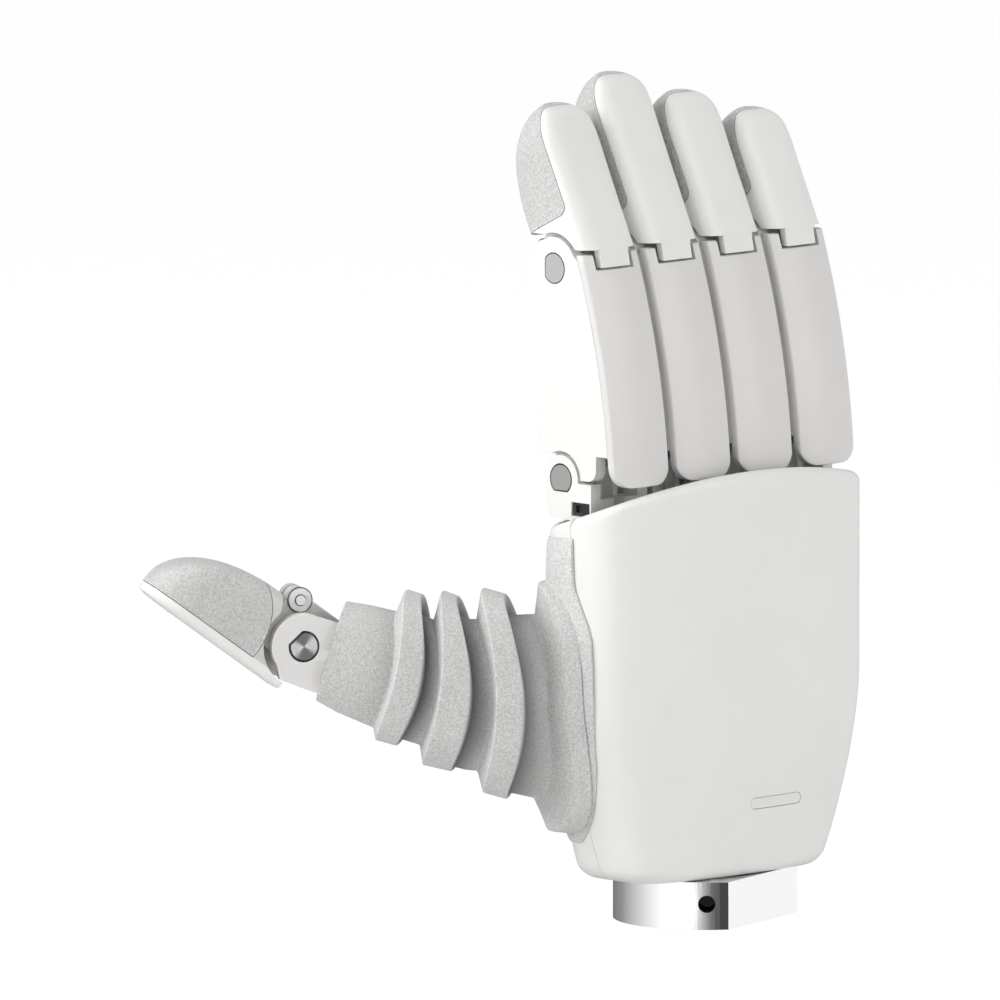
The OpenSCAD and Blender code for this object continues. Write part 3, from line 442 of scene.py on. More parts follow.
def make_materials(looks):
    """All the finishes, by their names."""
    m = {
        "white": plastic("White Satin Plastic", looks.white, 0.36),
        "cover": plastic("Light Grey Satin Cover", looks.cover, 0.34),
        "plate": plastic("Smooth Grey Plate", looks.plate, 0.42),
        "lens": plastic("Frosted Lens", shade(looks.white, 0.97), 0.22, 0.0),
        "dark": plastic("Dark Socket Plastic", (0.02, 0.02, 0.022), 0.45),
        "rubber": rubber("Grained Elastomer", looks.elastomer, looks.grain),
        "boot": rubber("Grained Boot", shade(looks.elastomer, 1.14), looks.grain, 0.62, True),
        "skin": rubber("Grained Skin", shade(looks.elastomer, 1.2), looks.grain),
        "pad": rubber("Grained Pad", shade(looks.elastomer, 1.02), looks.grain),
        "flange": flange_steel("Polished Flange Steel", looks.steel),
        "pin": plastic("Grey Pin Caps", (0.43, 0.43, 0.425), 0.4),
        "knuckle_pin": plastic("Dark Grey Pin Caps", (0.32, 0.32, 0.315), 0.4),
        # near-black rounds of the pin caps: painted shade of the gap round each cap
        "rim": brushed("Dark Pin Rims", (0.05, 0.05, 0.052), 0.35, (1, 1, 1), 0.0003, 0.1),
        "rod": brushed("Link Steel", (0.42, 0.42, 0.43), 0.3, (1, 1, 0.04), 0.0004),
        "screw": brushed("Screw Steel", (0.33, 0.33, 0.34), 0.32, (1, 1, 1), 0.0004),
        "motor": brushed("Motor Steel", (0.5, 0.5, 0.52), 0.3, (1, 1, 12), 0.001),
        "frame": brushed("Milled Aluminium", (0.62, 0.63, 0.65), 0.34, (0.05, 1, 1), 0.0006),
        "board": board("Circuit Board"),
    }
    centre = Vector(thumb_point(THUMB_HALF, 0, THUMB_L)) * MM
    turn = (math.radians(90), 0, math.radians(THUMB_YAW))
    m["turned"] = turned("Turned Steel", looks.steel, centre, turn)
    crank = Vector(thumb_point(0, THUMB_CRANK_AT[0], THUMB_L + THUMB_CRANK_AT[1])) * MM
    side = Vector(thumb_point(1, 0, 0)) - Vector(thumb_point(0, 0, 0))
    m["thumb_clip"] = retained("Thumb Clip", CLIP_TONE, crank, side, CLIP_SHADE_RIMS)
    crank = Vector((0, PIP[0] + CRANK_AT[0], MCP_Z + PIP[1] + CRANK_AT[1])) * MM
    m["clip"] = retained("Finger Clips", CLIP_TONE, crank, (1, 0, 0), CLIP_SHADE_RIMS)
    nail, tilt = Vector(thumb_point(0, 0, THUMB_L)), math.radians(THUMB_TIP_TILT)
    across = Vector(thumb_point(0, math.cos(tilt), THUMB_L - math.sin(tilt))) - nail
    m["thumb_tip"] = two_tone("Thumb Tip Plastic", looks.white, shade(looks.plate, 0.80), nail * MM,
                              across, (THUMB_BACK + NAIL_T) * MM)
    return m


# ---------- meshes ----------


def object_from(name, mesh):
    obj = bpy.data.objects.new(name, mesh)
    bpy.context.scene.collection.objects.link(obj)
    return obj


def mesh_from(name, points, faces):
    """A mesh, still in millimetres, from an array of points and a list or array of faces."""
    mesh = bpy.data.meshes.new(name)
    mesh.from_pydata(np.asarray(points, float).tolist(), [], [list(map(int, f)) for f in faces])
    mesh.validate()
    mesh.update()
    return mesh


def place_mesh(mesh, put):
    """Moves a mesh's points by a function."""
    co = np.empty(len(mesh.vertices) * 3)
    mesh.vertices.foreach_get("co", co)
    mesh.vertices.foreach_set("co", put(co.reshape(-1, 3)).ravel())
    mesh.update()
    return mesh


def settle(obj, put=lambda p: p):
    """Puts a mesh that was worked out in millimetres into its place, in metres."""
    place_mesh(obj.data, lambda p: put(p) * MM)
    return obj


def grid_faces(rows, cols, wrap_rows=False, wrap_cols=False):
    """Quads of a grid of rows by cols points, closed on itself where asked."""
    r = np.arange(rows if wrap_rows else rows - 1)
    c = np.arange(cols if wrap_cols else cols - 1)
    i, j = np.meshgrid(r, c, indexing="ij")
    i1, j1 = (i + 1) % rows, (j + 1) % cols
    return np.stack([i * cols + j, i1 * cols + j, i1 * cols + j1, i * cols + j1], -1).reshape(-1, 4)


def outward(mesh):
    """Turns the faces of a closed mesh outwards, in place."""
    bm = bmesh.new()
    bm.from_mesh(mesh)
    bmesh.ops.remove_doubles(bm, verts=bm.verts, dist=1e-4)
    bmesh.ops.recalc_face_normals(bm, faces=bm.faces)
    if bm.calc_volume(signed=True) < 0:
        bmesh.ops.reverse_faces(bm, faces=bm.faces)
    bm.to_mesh(mesh)
    bm.free()
    mesh.update()
    return mesh


def smooth_by_angle(mesh, degrees):
    """Smooth shading, with edges sharper than an angle kept sharp."""
    mesh.polygons.foreach_set("use_smooth", np.ones(len(mesh.polygons), bool))
    mesh.set_sharp_from_angle(angle=math.radians(degrees))
    mesh.update()


def closed_grid(name, points, wrap_rows=False, depth=None):
    """A closed solid from a (rows, cols, 3) grid that wraps round in cols; its two end rows
    are closed by a point in their middle unless the rows wrap as well. A number for each row,
    where given, is kept in the points' depth attribute: a weight of painted shade and grain
    smoothing."""
    rows, cols, _ = points.shape
    flat = points.reshape(-1, 3)
    faces = [tuple(f) for f in grid_faces(rows, cols, wrap_rows, True)]
    if not wrap_rows:
        caps = np.stack([points[0].mean(0), points[-1].mean(0)])
        flat = np.concatenate([flat, caps])
        for k, row in enumerate((0, rows - 1)):
            faces += [(rows * cols + k, row * cols + j, row * cols + (j + 1) % cols)
                      for j in range(cols)]
    mesh = mesh_from(name, flat, faces)
    if depth is not None:
        layer = mesh.attributes.new("depth", "FLOAT", "POINT")
        layer.data.foreach_set("value", np.repeat(depth, cols))
    return outward(mesh)


def strip_solid(name, loop):
    """A solid from a (rows, cols, 3) grid whose rows are thin closed loops: out along one side
    and back along the other. Each end loop is closed by faces across it."""
    rows, cols, _ = loop.shape
    faces = [tuple(f) for f in grid_faces(rows, cols, False, True)]
    for row in (0, rows - 1):
        e = row * cols
        faces += [(e + i, e + i + 1, e + cols - 2 - i, e + cols - 1 - i)
                  for i in range(cols // 2 - 1)]
    return outward(mesh_from(name, loop.reshape(-1, 3), faces))


def prism(name, outline, low, high, put=lambda p: p):
    """A straight prism over a closed outline; put carries its (a, b, height) points into place."""
    n = len(outline)
    o = np.asarray(outline, float)
    bottom = np.column_stack([o, np.full(n, low)])
    top = np.column_stack([o, np.full(n, high)])
    faces = [tuple(range(n)), tuple(range(n, 2 * n))]
    faces += [(i, (i + 1) % n, n + (i + 1) % n, n + i) for i in range(n)]
    return outward(mesh_from(name, put(np.concatenate([bottom, top])), faces))


def arc(centre, radius, angles):
    """Points on a circle, at angles in radians."""
    return np.column_stack([centre[0] + radius * np.cos(angles),
                            centre[1] + radius * np.sin(angles)])


def pill(low, high, radius, steps=12):
    """A rectangle whose corners are arcs, as points in order."""
    a = np.radians(np.linspace(0, 90, steps))
    corners = [(high[0] - radius, high[1] - radius), (low[0] + radius, high[1] - radius),
               (low[0] + radius, low[1] + radius), (high[0] - radius, low[1] + radius)]
    return np.concatenate([arc(at, radius, a + k * math.pi / 2) for k, at in enumerate(corners)])


def circle(centre, radius, steps=64):
    return arc(centre, radius, np.linspace(0, 2 * np.pi, steps, endpoint=False))


def bar(a, b, width, steps=24):
    """A strip with round ends from a to b."""
    base = math.atan2(b[1] - a[1], b[0] - a[0])
    half_turn = base + np.radians(np.linspace(-90, 90, steps))
    return np.concatenate([arc(b, width / 2, half_turn), arc(a, width / 2, half_turn + math.pi)])


def box_outline(x, y, w, h):
    return [(x, y), (x + w, y), (x + w, y + h), (x, y + h)]


def cut(obj, tools, operation="DIFFERENCE"):
    """Cuts, joins or keeps the common part of a mesh and each tool mesh, for good."""
    for tool in tools:
        helper = object_from("helper", tool)
        mod = obj.modifiers.new("cut", "BOOLEAN")
        mod.operation = operation
        mod.object = helper
        mod.solver = "EXACT"
        bpy.context.view_layer.update()
        shaped = obj.evaluated_get(bpy.context.evaluated_depsgraph_get())
        result = bpy.data.meshes.new_from_object(shaped)
        obj.modifiers.clear()
        old = obj.data
        obj.data = result
        obj.data.name = obj.name
        bpy.data.meshes.remove(old)
        bpy.data.objects.remove(helper)
        bpy.data.meshes.remove(tool)
    return obj


def finish_piece(obj, material, node, sharp=32, rides=True):
    """Shading and material of a finished piece, which replaces a node, which it hides, and rides
    the node's body unless rides is false."""
    obj.data.materials.clear()
    obj.data.materials.append(MATERIALS[material])
    smooth_by_angle(obj.data, sharp)
    if rides:
        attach(obj, BODY_OF[node])
    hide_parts(node)
    return obj


def machined(node, material, edge, sharp=28, rim=False):
    """A rigid node with broken edges: its copy is merged, its flat faces are made whole, and
    its sharp edges get a small round, painted near black where asked as painted shade of the
    gap round a pin cap."""
    source = frame["nodes"][node]
    bm = bmesh.new()
    bm.from_mesh(source.data)
    bm.transform(source.matrix_world)
    bmesh.ops.remove_doubles(bm, verts=bm.verts, dist=2e-6)
    bmesh.ops.dissolve_degenerate(bm, edges=bm.edges, dist=1e-6)
    bmesh.ops.dissolve_limit(bm, angle_limit=math.radians(0.2), verts=bm.verts, edges=bm.edges)
    mesh = bpy.data.meshes.new(node + "_finished")
    bm.to_mesh(mesh)
    bm.free()
    obj = object_from(node + "_finished", mesh)
    if edge > 0:
        round_off = obj.modifiers.new("edges", "BEVEL")
        round_off.width = edge
        round_off.segments = 2
        round_off.limit_method = "ANGLE"
        round_off.angle_limit = math.radians(35)
        round_off.material = 1 if rim else -1
    finish_piece(obj, material, node, sharp)
    if rim:
        obj.data.materials.append(MATERIALS["rim"])
    return obj


# ---------- the palm ----------


def taper(z):
    return np.maximum(0, (TAPER_Z - z) / (TAPER_Z - PALM_Z0)) ** 1.7


def section(z):
    """Half width and centre of the palm's section at a height."""
    return (PALM_HALF_W - taper(z) * (TAPER_ULNAR + TAPER_RADIAL) / 2,
            -taper(z) * (TAPER_ULNAR - TAPER_RADIAL) / 2)


def corner_y(w, c):
    """Centre of the corner arc, measured along the thickness, under a crown of radius c."""
    return PALM_T / 2 - c + np.sqrt((c - CORNER_R) ** 2 - (w - CORNER_R) ** 2)


def half_section(u, w, c, d, y0):
    """A point of half the palm's outline, inset by d: u runs 0..1 up one side, 1..2 round its
    corner, 2..3 over the crown, 3..4 round the other corner and 4..5 down to y0."""
    q = CORNER_R
    cy = corner_y(w, c)
    g = np.arcsin((w - q) / (c - q))
    side = np.clip(u, 0, 1)
    a1 = np.clip(u - 1, 0, 1) * (np.pi / 2 - g)
    a2 = np.pi / 2 - g + np.clip(u - 2, 0, 1) * 2 * g
    a3 = np.pi / 2 + g + np.clip(u - 3, 0, 1) * (np.pi / 2 - g)
    last = np.clip(u - 4, 0, 1)
    x = np.select([u <= 1, u <= 2, u <= 3, u <= 4],
                  [w - d, w - q + (q - d) * np.cos(a1), (c - d) * np.cos(a2),
                   q - w + (q - d) * np.cos(a3)], d - w)
    y = np.select([u <= 1, u <= 2, u <= 3, u <= 4],
                  [y0 + (cy - y0) * side, cy + (q - d) * np.sin(a1),
                   PALM_T / 2 - c + (c - d) * np.sin(a2), cy + (q - d) * np.sin(a3)],
                  cy + (y0 - cy) * last)
    return x, y


def rim(x, y):
    """Height of the shells' rim over a point of the plan."""
    return RIM_Z - RIM_ARCH * ((x - 3) / 41) ** 2 - 0.33 * np.maximum(0, y + 13)


def shell(name, side, crown, y0, top_r):
    """One palm shell: a loop that runs up the outside, over a rounded rim, down the inside and
    round the foot, carried across the section."""
    lo, hi = PALM_Z0 + FOOT_R, RIM_Z - top_r
    a = np.radians(np.linspace(85, 0, 9))[:-1]
    foot = np.column_stack([FOOT_R * (1 - np.cos(a)), lo - FOOT_R * np.sin(a), 0 * a])
    z = np.linspace(lo, hi, 70)
    wall = np.column_stack([0 * z, z, (z - lo) / (hi - lo)])
    b = np.radians(np.linspace(0, 88, 9))[1:]
    top = np.column_stack([top_r * (1 - np.cos(b)), hi + top_r * np.sin(b), 1 + 0 * b])
    outside = np.concatenate([foot, wall, top])
    inside = outside[::-1].copy()
    inside[:, 0] = np.maximum(PALM_WALL, inside[:, 0] + 0.9)
    loop = np.concatenate([outside, inside])
    u = np.concatenate([np.linspace(0, 1, 6), np.linspace(1, 2, 19)[1:], np.linspace(2, 3, 61)[1:],
                        np.linspace(3, 4, 19)[1:], np.linspace(4, 5, 6)[1:]])
    d, zz, t = (loop[:, k][None, :] for k in range(3))
    w, cx = section(zz)
    x, y = half_section(u[:, None] + 0 * zz, w + 0 * u[:, None], crown, d + 0 * u[:, None], y0)
    x, y = x + cx, side * y
    level = y if side < 0 else np.minimum(y, 11)
    return strip_solid(name, np.stack([x, y, zz + (rim(x, level) - RIM_Z) * t ** 2], -1))


def window_outline():
    """The wedge in plan that the thumb's carrier swings in."""
    a = math.radians(90 - THUMB_YAW)
    b = a - math.radians(WINDOW_SWEEP)
    near, far = np.array([-math.sin(a), math.cos(a)]), np.array([-math.sin(b), math.cos(b)])
    at = np.array(SWING_AT)
    p = at + WINDOW_HALF * np.array([-near[1], near[0]])
    q = at + WINDOW_HALF * np.array([far[1], -far[0]])
    return [p - 4 * near, p + 30 * near, at + 45 * (near + far) / 1.8, q + 30 * far, q - 4 * far]


def window_tool(grow=0.0):
    return prism("window", window_outline(), THUMB_M[2] - WINDOW_BELOW - grow,
                 THUMB_M[2] + WINDOW_ABOVE + grow)


def screw_tools():
    """The counterbores and clearance holes of the cover's screws, from the palm side."""
    return [prism("drill", circle(at, radius, 48), low, high, lambda p: p[:, (0, 2, 1)])
            for at in COVER_SCREWS for radius, low, high in COVER_DRILLS]


def lens_tool(gap, depth):
    """A pill-shaped prism that crosses the back shell."""
    outline = pill((-LENS_L / 2 - gap, -LENS_H / 2 - gap), (LENS_L / 2 + gap, LENS_H / 2 + gap),
                   LENS_H / 2 + gap - 0.01)
    middle = -PALM_T / 2 + LENS_DEEP
    return prism("lens", outline, -depth / 2, depth / 2,
                 lambda p: np.column_stack([LENS_X + p[:, 0], middle + p[:, 2], LENS_Z + p[:, 1]]))


def side_point(u, z, d):
    """A point of the shell's outline on the thumb's side, by its place u along the outline."""
    w, cx = section(z)
    q = CORNER_R
    cb, cp = corner_y(w, BACK_CROWN_R), corner_y(w, PALM_CROWN_R)
    x = cx - w + q
    back = np.radians(30 * u)
    palm = np.radians(85 * (u - 1))
    px = np.select([u < 0, u < 1, u < 2],
                   [x - (q + d) * np.cos(back), x - q - d + 0 * u, x - (q + d) * np.cos(palm)],
                   x + (q + d) * 0.1 + 11 * (u - 2))
    py = np.select([u < 0, u < 1, u < 2],
                   [(q + d) * np.sin(back) - cb, -cb + u * (cb + cp), cp + (q + d) * np.sin(palm)],
                   cp + q + d + 0.1 + 0.5 * (u - 2))
    return np.stack([px, py, z + 0 * px], -1)


def skin_surface():
    """The thumb's skin: it hugs the shell between two curved borders, and its section has a
    rounded border, d = SKIN_LIFT + SKIN_T sqrt(1 - |2v - 1|^12)."""
    start, end = SKIN_TOP[0][0], SKIN_TOP[0][-1]
    u = np.concatenate([np.linspace(start, -0.5, 30), np.linspace(-0.49, end, 90)])[:, None]
    hi, lo = np.interp(u, *SKIN_TOP), np.interp(u, *SKIN_FOOT)
    v = (1 - np.cos(np.linspace(0, np.pi, 61)))[None, :] / 2
    d = SKIN_LIFT + SKIN_T * np.sqrt(np.clip(1 - np.abs(2 * v - 1) ** 12, 0, 1))
    outer = side_point(u + 0 * v, lo + (hi - lo) * v, d + 0 * u)
    back = v[:, ::-1]
    inner = side_point(u + 0 * back, lo + (hi - lo) * back, SKIN_LIFT + 0 * u + 0 * back)
    return strip_solid("thumb_skin_sheet", np.concatenate([outer, inner], 1))


# ---------- the thumb's frame and its boot ----------


def thumb_point(x, y, z):
    """A point of the thumb's own frame in the hand's frame: x along its hinge, y up, z out."""
    c, t = TILT
    a, b = YAW
    reach = c * z - t * y
    return (THUMB_M[0] - b * x - a * reach, THUMB_M[1] - a * x + b * reach,
            THUMB_M[2] + c * y + t * z)


def into_thumb(p):
    return np.column_stack(thumb_point(p[:, 0], p[:, 1], p[:, 2]))


def power(v, e):
    return np.sign(v) * np.abs(v) ** e


def boot_ring(place, rise, lean, a, b, bow, d, t):
    """A leaning superellipse about the thumb's axis, whose middle is bowed towards the palm by
    bow (1 - (h / a)^2) at the height h, and whose side x stands out by BOOT_SKEW x."""
    x = (b - d) * power(np.cos(t), 0.62)
    h = (a - d) * power(np.sin(t), 0.62)
    lean = math.radians(lean)
    along = place + h * math.sin(lean) - bow * (1 - (h / a) ** 2) + BOOT_SKEW * x
    return np.stack(thumb_point(x, rise + h * math.cos(lean), along), -1)


def leave(k, z):
    """How far out along the thumb's root the palm ends, k across and z up."""
    dx, dy = -YAW[0], YAW[1]
    x0, y0 = SWING_AT[0] + k * dy, SWING_AT[1] - k * dx
    w, cx = section(z)
    q, ex = CORNER_R, cx - w
    t = np.minimum((ex - x0) / dx, (PALM_T / 2 - y0) / dy)
    cp = corner_y(w, PALM_CROWN_R)
    rx, ry = x0 - ex - q, y0 - cp
    m = rx * dx + ry * dy
    round_t = -m + np.sqrt(np.maximum(0, m * m - rx * rx - ry * ry + q * q))
    corner = (x0 + t * dx < ex + q) & (y0 + t * dy > cp)
    return np.where(corner, round_t, t)


def root_ring(off, a, b, d, t):
    """A superellipse that stands off the palm's side by a distance, fuller on the palm's face."""
    x = (b - d) * power(np.cos(t), 0.8) - (ROOT_HALF - b)
    rise = power(np.sin(t), 0.8)
    z = ROOT_Z + (a - d) * rise
    s = leave(-x, z) + max(off - 1.2 * d, 0.2) * (1 - 0.45 * np.clip(rise, 0, 1) ** 2)
    return np.stack([SWING_AT[0] - YAW[0] * s - YAW[1] * x,
                     SWING_AT[1] + YAW[1] * s - YAW[0] * x, z], -1)


def rib(left, right, rise, a, b, a1, a2):
    """Four rings: a flat band between two steep flanks, whose valleys lie lower. The band's two
    edges are given as (place, lean, bow)."""
    flank, low, deep = 0.9, rise - BOOT_FALL, b - 4
    return [(left[0] + flank, low, left[1], a1, deep, left[2]),
            (left[0], rise, left[1], a, b, left[2]), (right[0], rise, right[1], a, b, right[2]),
            (right[0] - flank, low, right[1], a2, deep, right[2])]


def lip_ring(place, t):
    """The hole in the sleeve's flat end: a rectangle round the thumb's plate, raised in its
    middle for the rod."""
    c, v = np.cos(t), np.sin(t)
    reach = 1 / np.maximum(np.abs(c), np.abs(v))
    x = (THUMB_HALF + 0.3) * c * reach
    y = 0.3 + 7.1 * v * reach
    y = y + np.where(y > 7, 2.2 * np.exp(-(x / 2.4) ** 4), 0)
    return np.stack(thumb_point(x, y, place + BOOT_SKEW * x), -1)


def softened(rings, step, radius):
    """Rings (j, angle, 3) resampled every step along the tube and averaged over a bell of a
    given radius, so that corners between rings become round; the two end rings stay."""
    gaps = np.linalg.norm(np.diff(rings, axis=0), axis=2).mean(1)
    at = np.concatenate([[0], np.cumsum(gaps)])
    n = max(8, int(at[-1] / step))
    s = np.linspace(0, at[-1], n)
    j = np.clip(np.searchsorted(at, s, side="right") - 1, 0, len(rings) - 2)
    f = ((s - at[j]) / (at[j + 1] - at[j]))[:, None, None]
    fine = rings[j] * (1 - f) + rings[j + 1] * f
    half = max(1, int(3 * radius / step))
    bell = np.exp(-0.5 * (np.arange(-half, half + 1) * step / max(radius, 1e-6)) ** 2)
    bell /= bell.sum()
    before = 2 * fine[:1] - fine[1:half + 1][::-1]
    after = 2 * fine[-1:] - fine[-half - 1:-1][::-1]
    padded = np.concatenate([before, fine, after])
    return sum(w * padded[k:k + n] for k, w in enumerate(bell))


def thumb_step(z):
    """A step along the thumb's own axis."""
    return np.array(thumb_point(0, 0, z)) - np.array(thumb_point(0, 0, 0))


def boot_mesh(name, ring_at, painted_shade_and_smoothing, core, radius, lip=False):
    """A closed tube: the softened outer rings out, the softened inner rings (the core, which
    leaves the ribs solid) back, and a flat end with a hole where asked. Each ring's weight of
    painted valley shade and grain smoothing is carried along in the depth attribute."""
    t = np.radians(np.arange(0, 360, 2.5))
    count = len(painted_shade_and_smoothing)
    hollow = np.stack([ring_at(k, 0.0, t) for k in range(count)])
    outer = softened(hollow, 0.2, radius)
    at = np.concatenate([[0], np.cumsum(np.linalg.norm(np.diff(hollow, axis=0), axis=2).mean(1))])
    inner = softened(np.stack([ring_at(k, BOOT_WALL, t) for k in core]), 0.8, radius)
    rows = [outer, inner[::-1]]
    if lip:
        end = UPPER[0][0]
        rows = [outer, inner[:0:-1], (inner[0] + thumb_step(-BOOT_WALL))[None],
                lip_ring(end - BOOT_WALL, t)[None], lip_ring(end, t)[None]]
    grid = np.concatenate(rows)
    # the depth attribute holds weights of painted shade and grain smoothing, not a depth
    depth = np.zeros(len(grid))
    depth[:len(outer)] = np.interp(np.linspace(0, at[-1], len(outer)), at, painted_shade_and_smoothing)
    return closed_grid(name, grid, True, depth)


SEAM = (-0.4, -0.7, 16.7, 16.9, 13, 4.6)
UPPER = [(32.6, 0.3, 0, 11.5, 11, 0), (27.5, 0, 0, 12.4, 11.1, 0.6),
         *rib((18.6, 5.9, 2.4), (14.0, 7.6, 3.6), 1.0, 17.1, 15, 13.2, 14),
         *rib((8.4, 11.0, 3.1), (3.1, 15.4, 4.7), 0.8, 19.6, 16.5, 14, 17), SEAM]
LOWER = [SEAM, *rib((-3.6, 17.9, 4.4), (-9.2, 18.0, 5.2), 1.2, 23.0, 17.5, 17, 19.9)]
ROOTS = [(6.6, 20.5, 13.4), (5.0, 28, 15.0), (1.4, 28.5, 15.2)]
# weights of painted shade and grain smoothing, ring by ring: the shade is painted darkest on the valley
# floor past a rib's right edge, where the rib's shadow falls
RIB_PAINTED_SHADE_AND_SMOOTHING = (0.1, 0, 0, 1)
UPPER_PAINTED_SHADE_AND_SMOOTHING = (0, 0, *RIB_PAINTED_SHADE_AND_SMOOTHING, *RIB_PAINTED_SHADE_AND_SMOOTHING, 0.55)
LOWER_PAINTED_SHADE_AND_SMOOTHING = (0.55, *RIB_PAINTED_SHADE_AND_SMOOTHING, 0.15, 0, 0)
UPPER_CORE, LOWER_CORE = (0, 1, 2, 5, 6, 9, 10), (0, 1, 4, 5, 6, 7)


def upper_ring(k, d, t):
    return boot_ring(*UPPER[k], d, t)


def lower_ring(k, d, t):
    if k < len(LOWER):
        return boot_ring(*LOWER[k], d, t)
    return root_ring(*ROOTS[k - len(LOWER)], d, t)


# ---------- fingertips ----------


def tip_form(length, width, dorsal, palm, droop):
    """The whole fingertip: superellipse rings along s whose half width is
    w (1 - ((s - l + 13) / 13)^2.6)^0.45 and whose palm side is a quarter ellipse from s = 12 on,
    about the height -9. Its back bends in by droop at the very end."""
    straight, base, taper_l, droop_l = 12, -9, 13, 7
    round_off = np.sin(np.radians(np.linspace(2, 90, 45)))
    s = np.concatenate([np.linspace(-3, straight, 16), straight + (length - straight) * round_off])
    taper = np.clip((s - length + taper_l) / taper_l, 0, None)
    w = width * np.maximum(0.004, 1 - taper ** 2.6) ** 0.45
    a = dorsal + droop * np.clip((s - length + droop_l) / droop_l, 0, None) ** 2.6
    part = np.clip(s - straight, 0, None) / (length - straight - 0.05)
    b = np.maximum(a + 1.2, base + (palm - base) * np.sqrt(np.maximum(0, 1 - part ** 2)))
    t = np.radians(np.arange(0, 360, 3.75) + 1.875)
    x = w[:, None] * power(np.cos(t), 0.42)[None, :]
    n = ((a + b) / 2)[:, None] + ((b - a) / 2)[:, None] * power(np.sin(t), 0.5)[None, :]
    return closed_grid("tip", np.stack([x, n, s[:, None] + 0 * x], -1))


def tip_zone(dorsal, gap, width, round_at):
    """The tools that bound the pad: a rounded prism across the tip and the core inside it. The
    thumb's pad ends in an arc, and its prism is closed by straight sides beyond the tip."""
    near = dorsal + PAD_BORDER + gap
    outline = pill((near, PAD_LOW + gap), (30, 70), 2)
    if round_at:
        r = THUMB_PAD_R - gap
        border = arc(round_at, r, np.linspace(-math.acos((near - round_at[0]) / r), 0, 40))
        outline = np.concatenate([border, [(round_at[0] + r, 40), (near, 40)]])
    zone = cross_prism(outline, -width - 2, width + 2)
    half = width - 3 - gap
    return zone, prism("core", box_outline(-half, dorsal, 2 * half, 7 + gap), 0, 28 + gap)


def tilt_put(pivot, tilt):
    """Turns a tip's own frame back about its pivot."""
    c, s = math.cos(math.radians(tilt)), math.sin(math.radians(tilt))
    return lambda p: np.column_stack([p[:, 0], pivot[0] + c * p[:, 1] + s * p[:, 2],
                                      pivot[1] - s * p[:, 1] + c * p[:, 2]])


def cross_prism(outline, low, high):
    """A prism whose outline lies in the finger's side view, carried across the finger."""
    return prism("across", outline, low, high,
                 lambda p: np.column_stack([p[:, 2], p[:, 0], p[:, 1]]))


def pad_bounds(dorsal, gap, half, turn, round_at):
    """The solid that holds the pad, in the finger's frame: the zone less its core."""
    zone, core = tip_zone(dorsal, gap, half, round_at)
    bounds = cut(object_from("bounds", zone), [core])
    mesh = place_mesh(bounds.data, turn)
    bpy.data.objects.remove(bounds)
    return mesh


def digit_pieces(name, pivot, tilt, length, half, dorsal, palm, ear, crank, put, round_at=None):
    """The white tip with its tongue and lugs, and its pad. A finger's tip has a flap on its back,
    and the thumb's pad ends in an arc about round_at."""
    ear_gap, low, reach, droop = (2, 2, 11.5, 0.6) if round_at else (1, 4.6, 9.3, 4.5)
    turn = tilt_put(pivot, tilt)
    shape = place_mesh(tip_form(length, half, dorsal, palm, droop), turn)
    pad = object_from(name + "_pad_skin", shape.copy())
    tip = object_from(name + "_tip_shell", shape)
    cut(tip, [pad_bounds(dorsal, 0.0, half, turn, round_at)])
    cut(pad, [pad_bounds(dorsal, PAD_GAP, half, turn, round_at)], "INTERSECT")
    wide = half + 1
    px, pz = pivot
    cut(tip, [cross_prism(circle(pivot, ear + ear_gap), -wide, wide),
              cross_prism(box_outline(px, pz - 20, 30, 27.4), -wide, wide),
              cross_prism(box_outline(px - 30, pz - 20, 60, 18), -wide, wide),
              cross_prism(box_outline(px - 30, pz - 5, 30, 5 + low), -wide, wide)])
    inner = half - EAR_T - SIDE_GAP
    c, s = math.cos(math.radians(tilt)), math.sin(math.radians(tilt))
    foot = np.array(pivot) - 1.2 * np.array([c, -s])
    joins = [cross_prism(circle(pivot, ear - 1.8), -inner, inner),
             cross_prism(bar(foot, foot + reach * np.array([s, c]), 7.4), -inner, inner)]
    at = np.array(pivot) + np.array(crank)
    for side in (-1, 1):
        span = sorted((side * LUG_IN, side * LUG_OUT))
        joins += [cross_prism(outline, *span) for outline in (
            circle(at, 2.7), bar(pivot, at, 5.4), bar(np.array(pivot) + (3, 6), at, 5))]
    if not round_at:
        outline = np.array(pivot) + [(-9.9, 5.4), (-10.9, 0.6), (-9.3, 0.6), (-8.2, 5.4)]
        joins.append(cross_prism(outline, -FLAP_W / 2, FLAP_W / 2))
    cut(tip, joins, "UNION")
    cut(tip, [cross_prism(circle(at, 4.4), -LUG_IN, LUG_IN),
              cross_prism(box_outline(px - 5, pz - 12, 20, 13), -LUG_IN, LUG_IN),
              cross_prism(bar(at, at - (8, 12), 8), -LUG_IN, LUG_IN),
              cross_prism(circle(pivot, PIN_R + PIN_GAP), -half, half)])
    if round_at:
        cut(tip, [pad_bounds(dorsal, 0.0, half, turn, round_at)])
    return settle(tip, put), settle(pad, put)


def clip_outline(outer, inner, gap, turn):
    """A retaining clip seen from its face: an arc between two radii, open over twice the gap
    about the direction turn, with its ends cut back towards the shaft."""
    def part(radius, start, end, steps):
        return arc((0, 0), radius, turn + np.radians(np.linspace(start, end, steps)))

    lobe, back = inner + 0.35, gap * 1.25
    return np.concatenate([part(outer, gap, 360 - gap, 60), part(lobe, -back, -back, 1),
                           part(inner, 360 - gap * 0.8, gap * 0.8, 60), part(lobe, back, back, 1)])


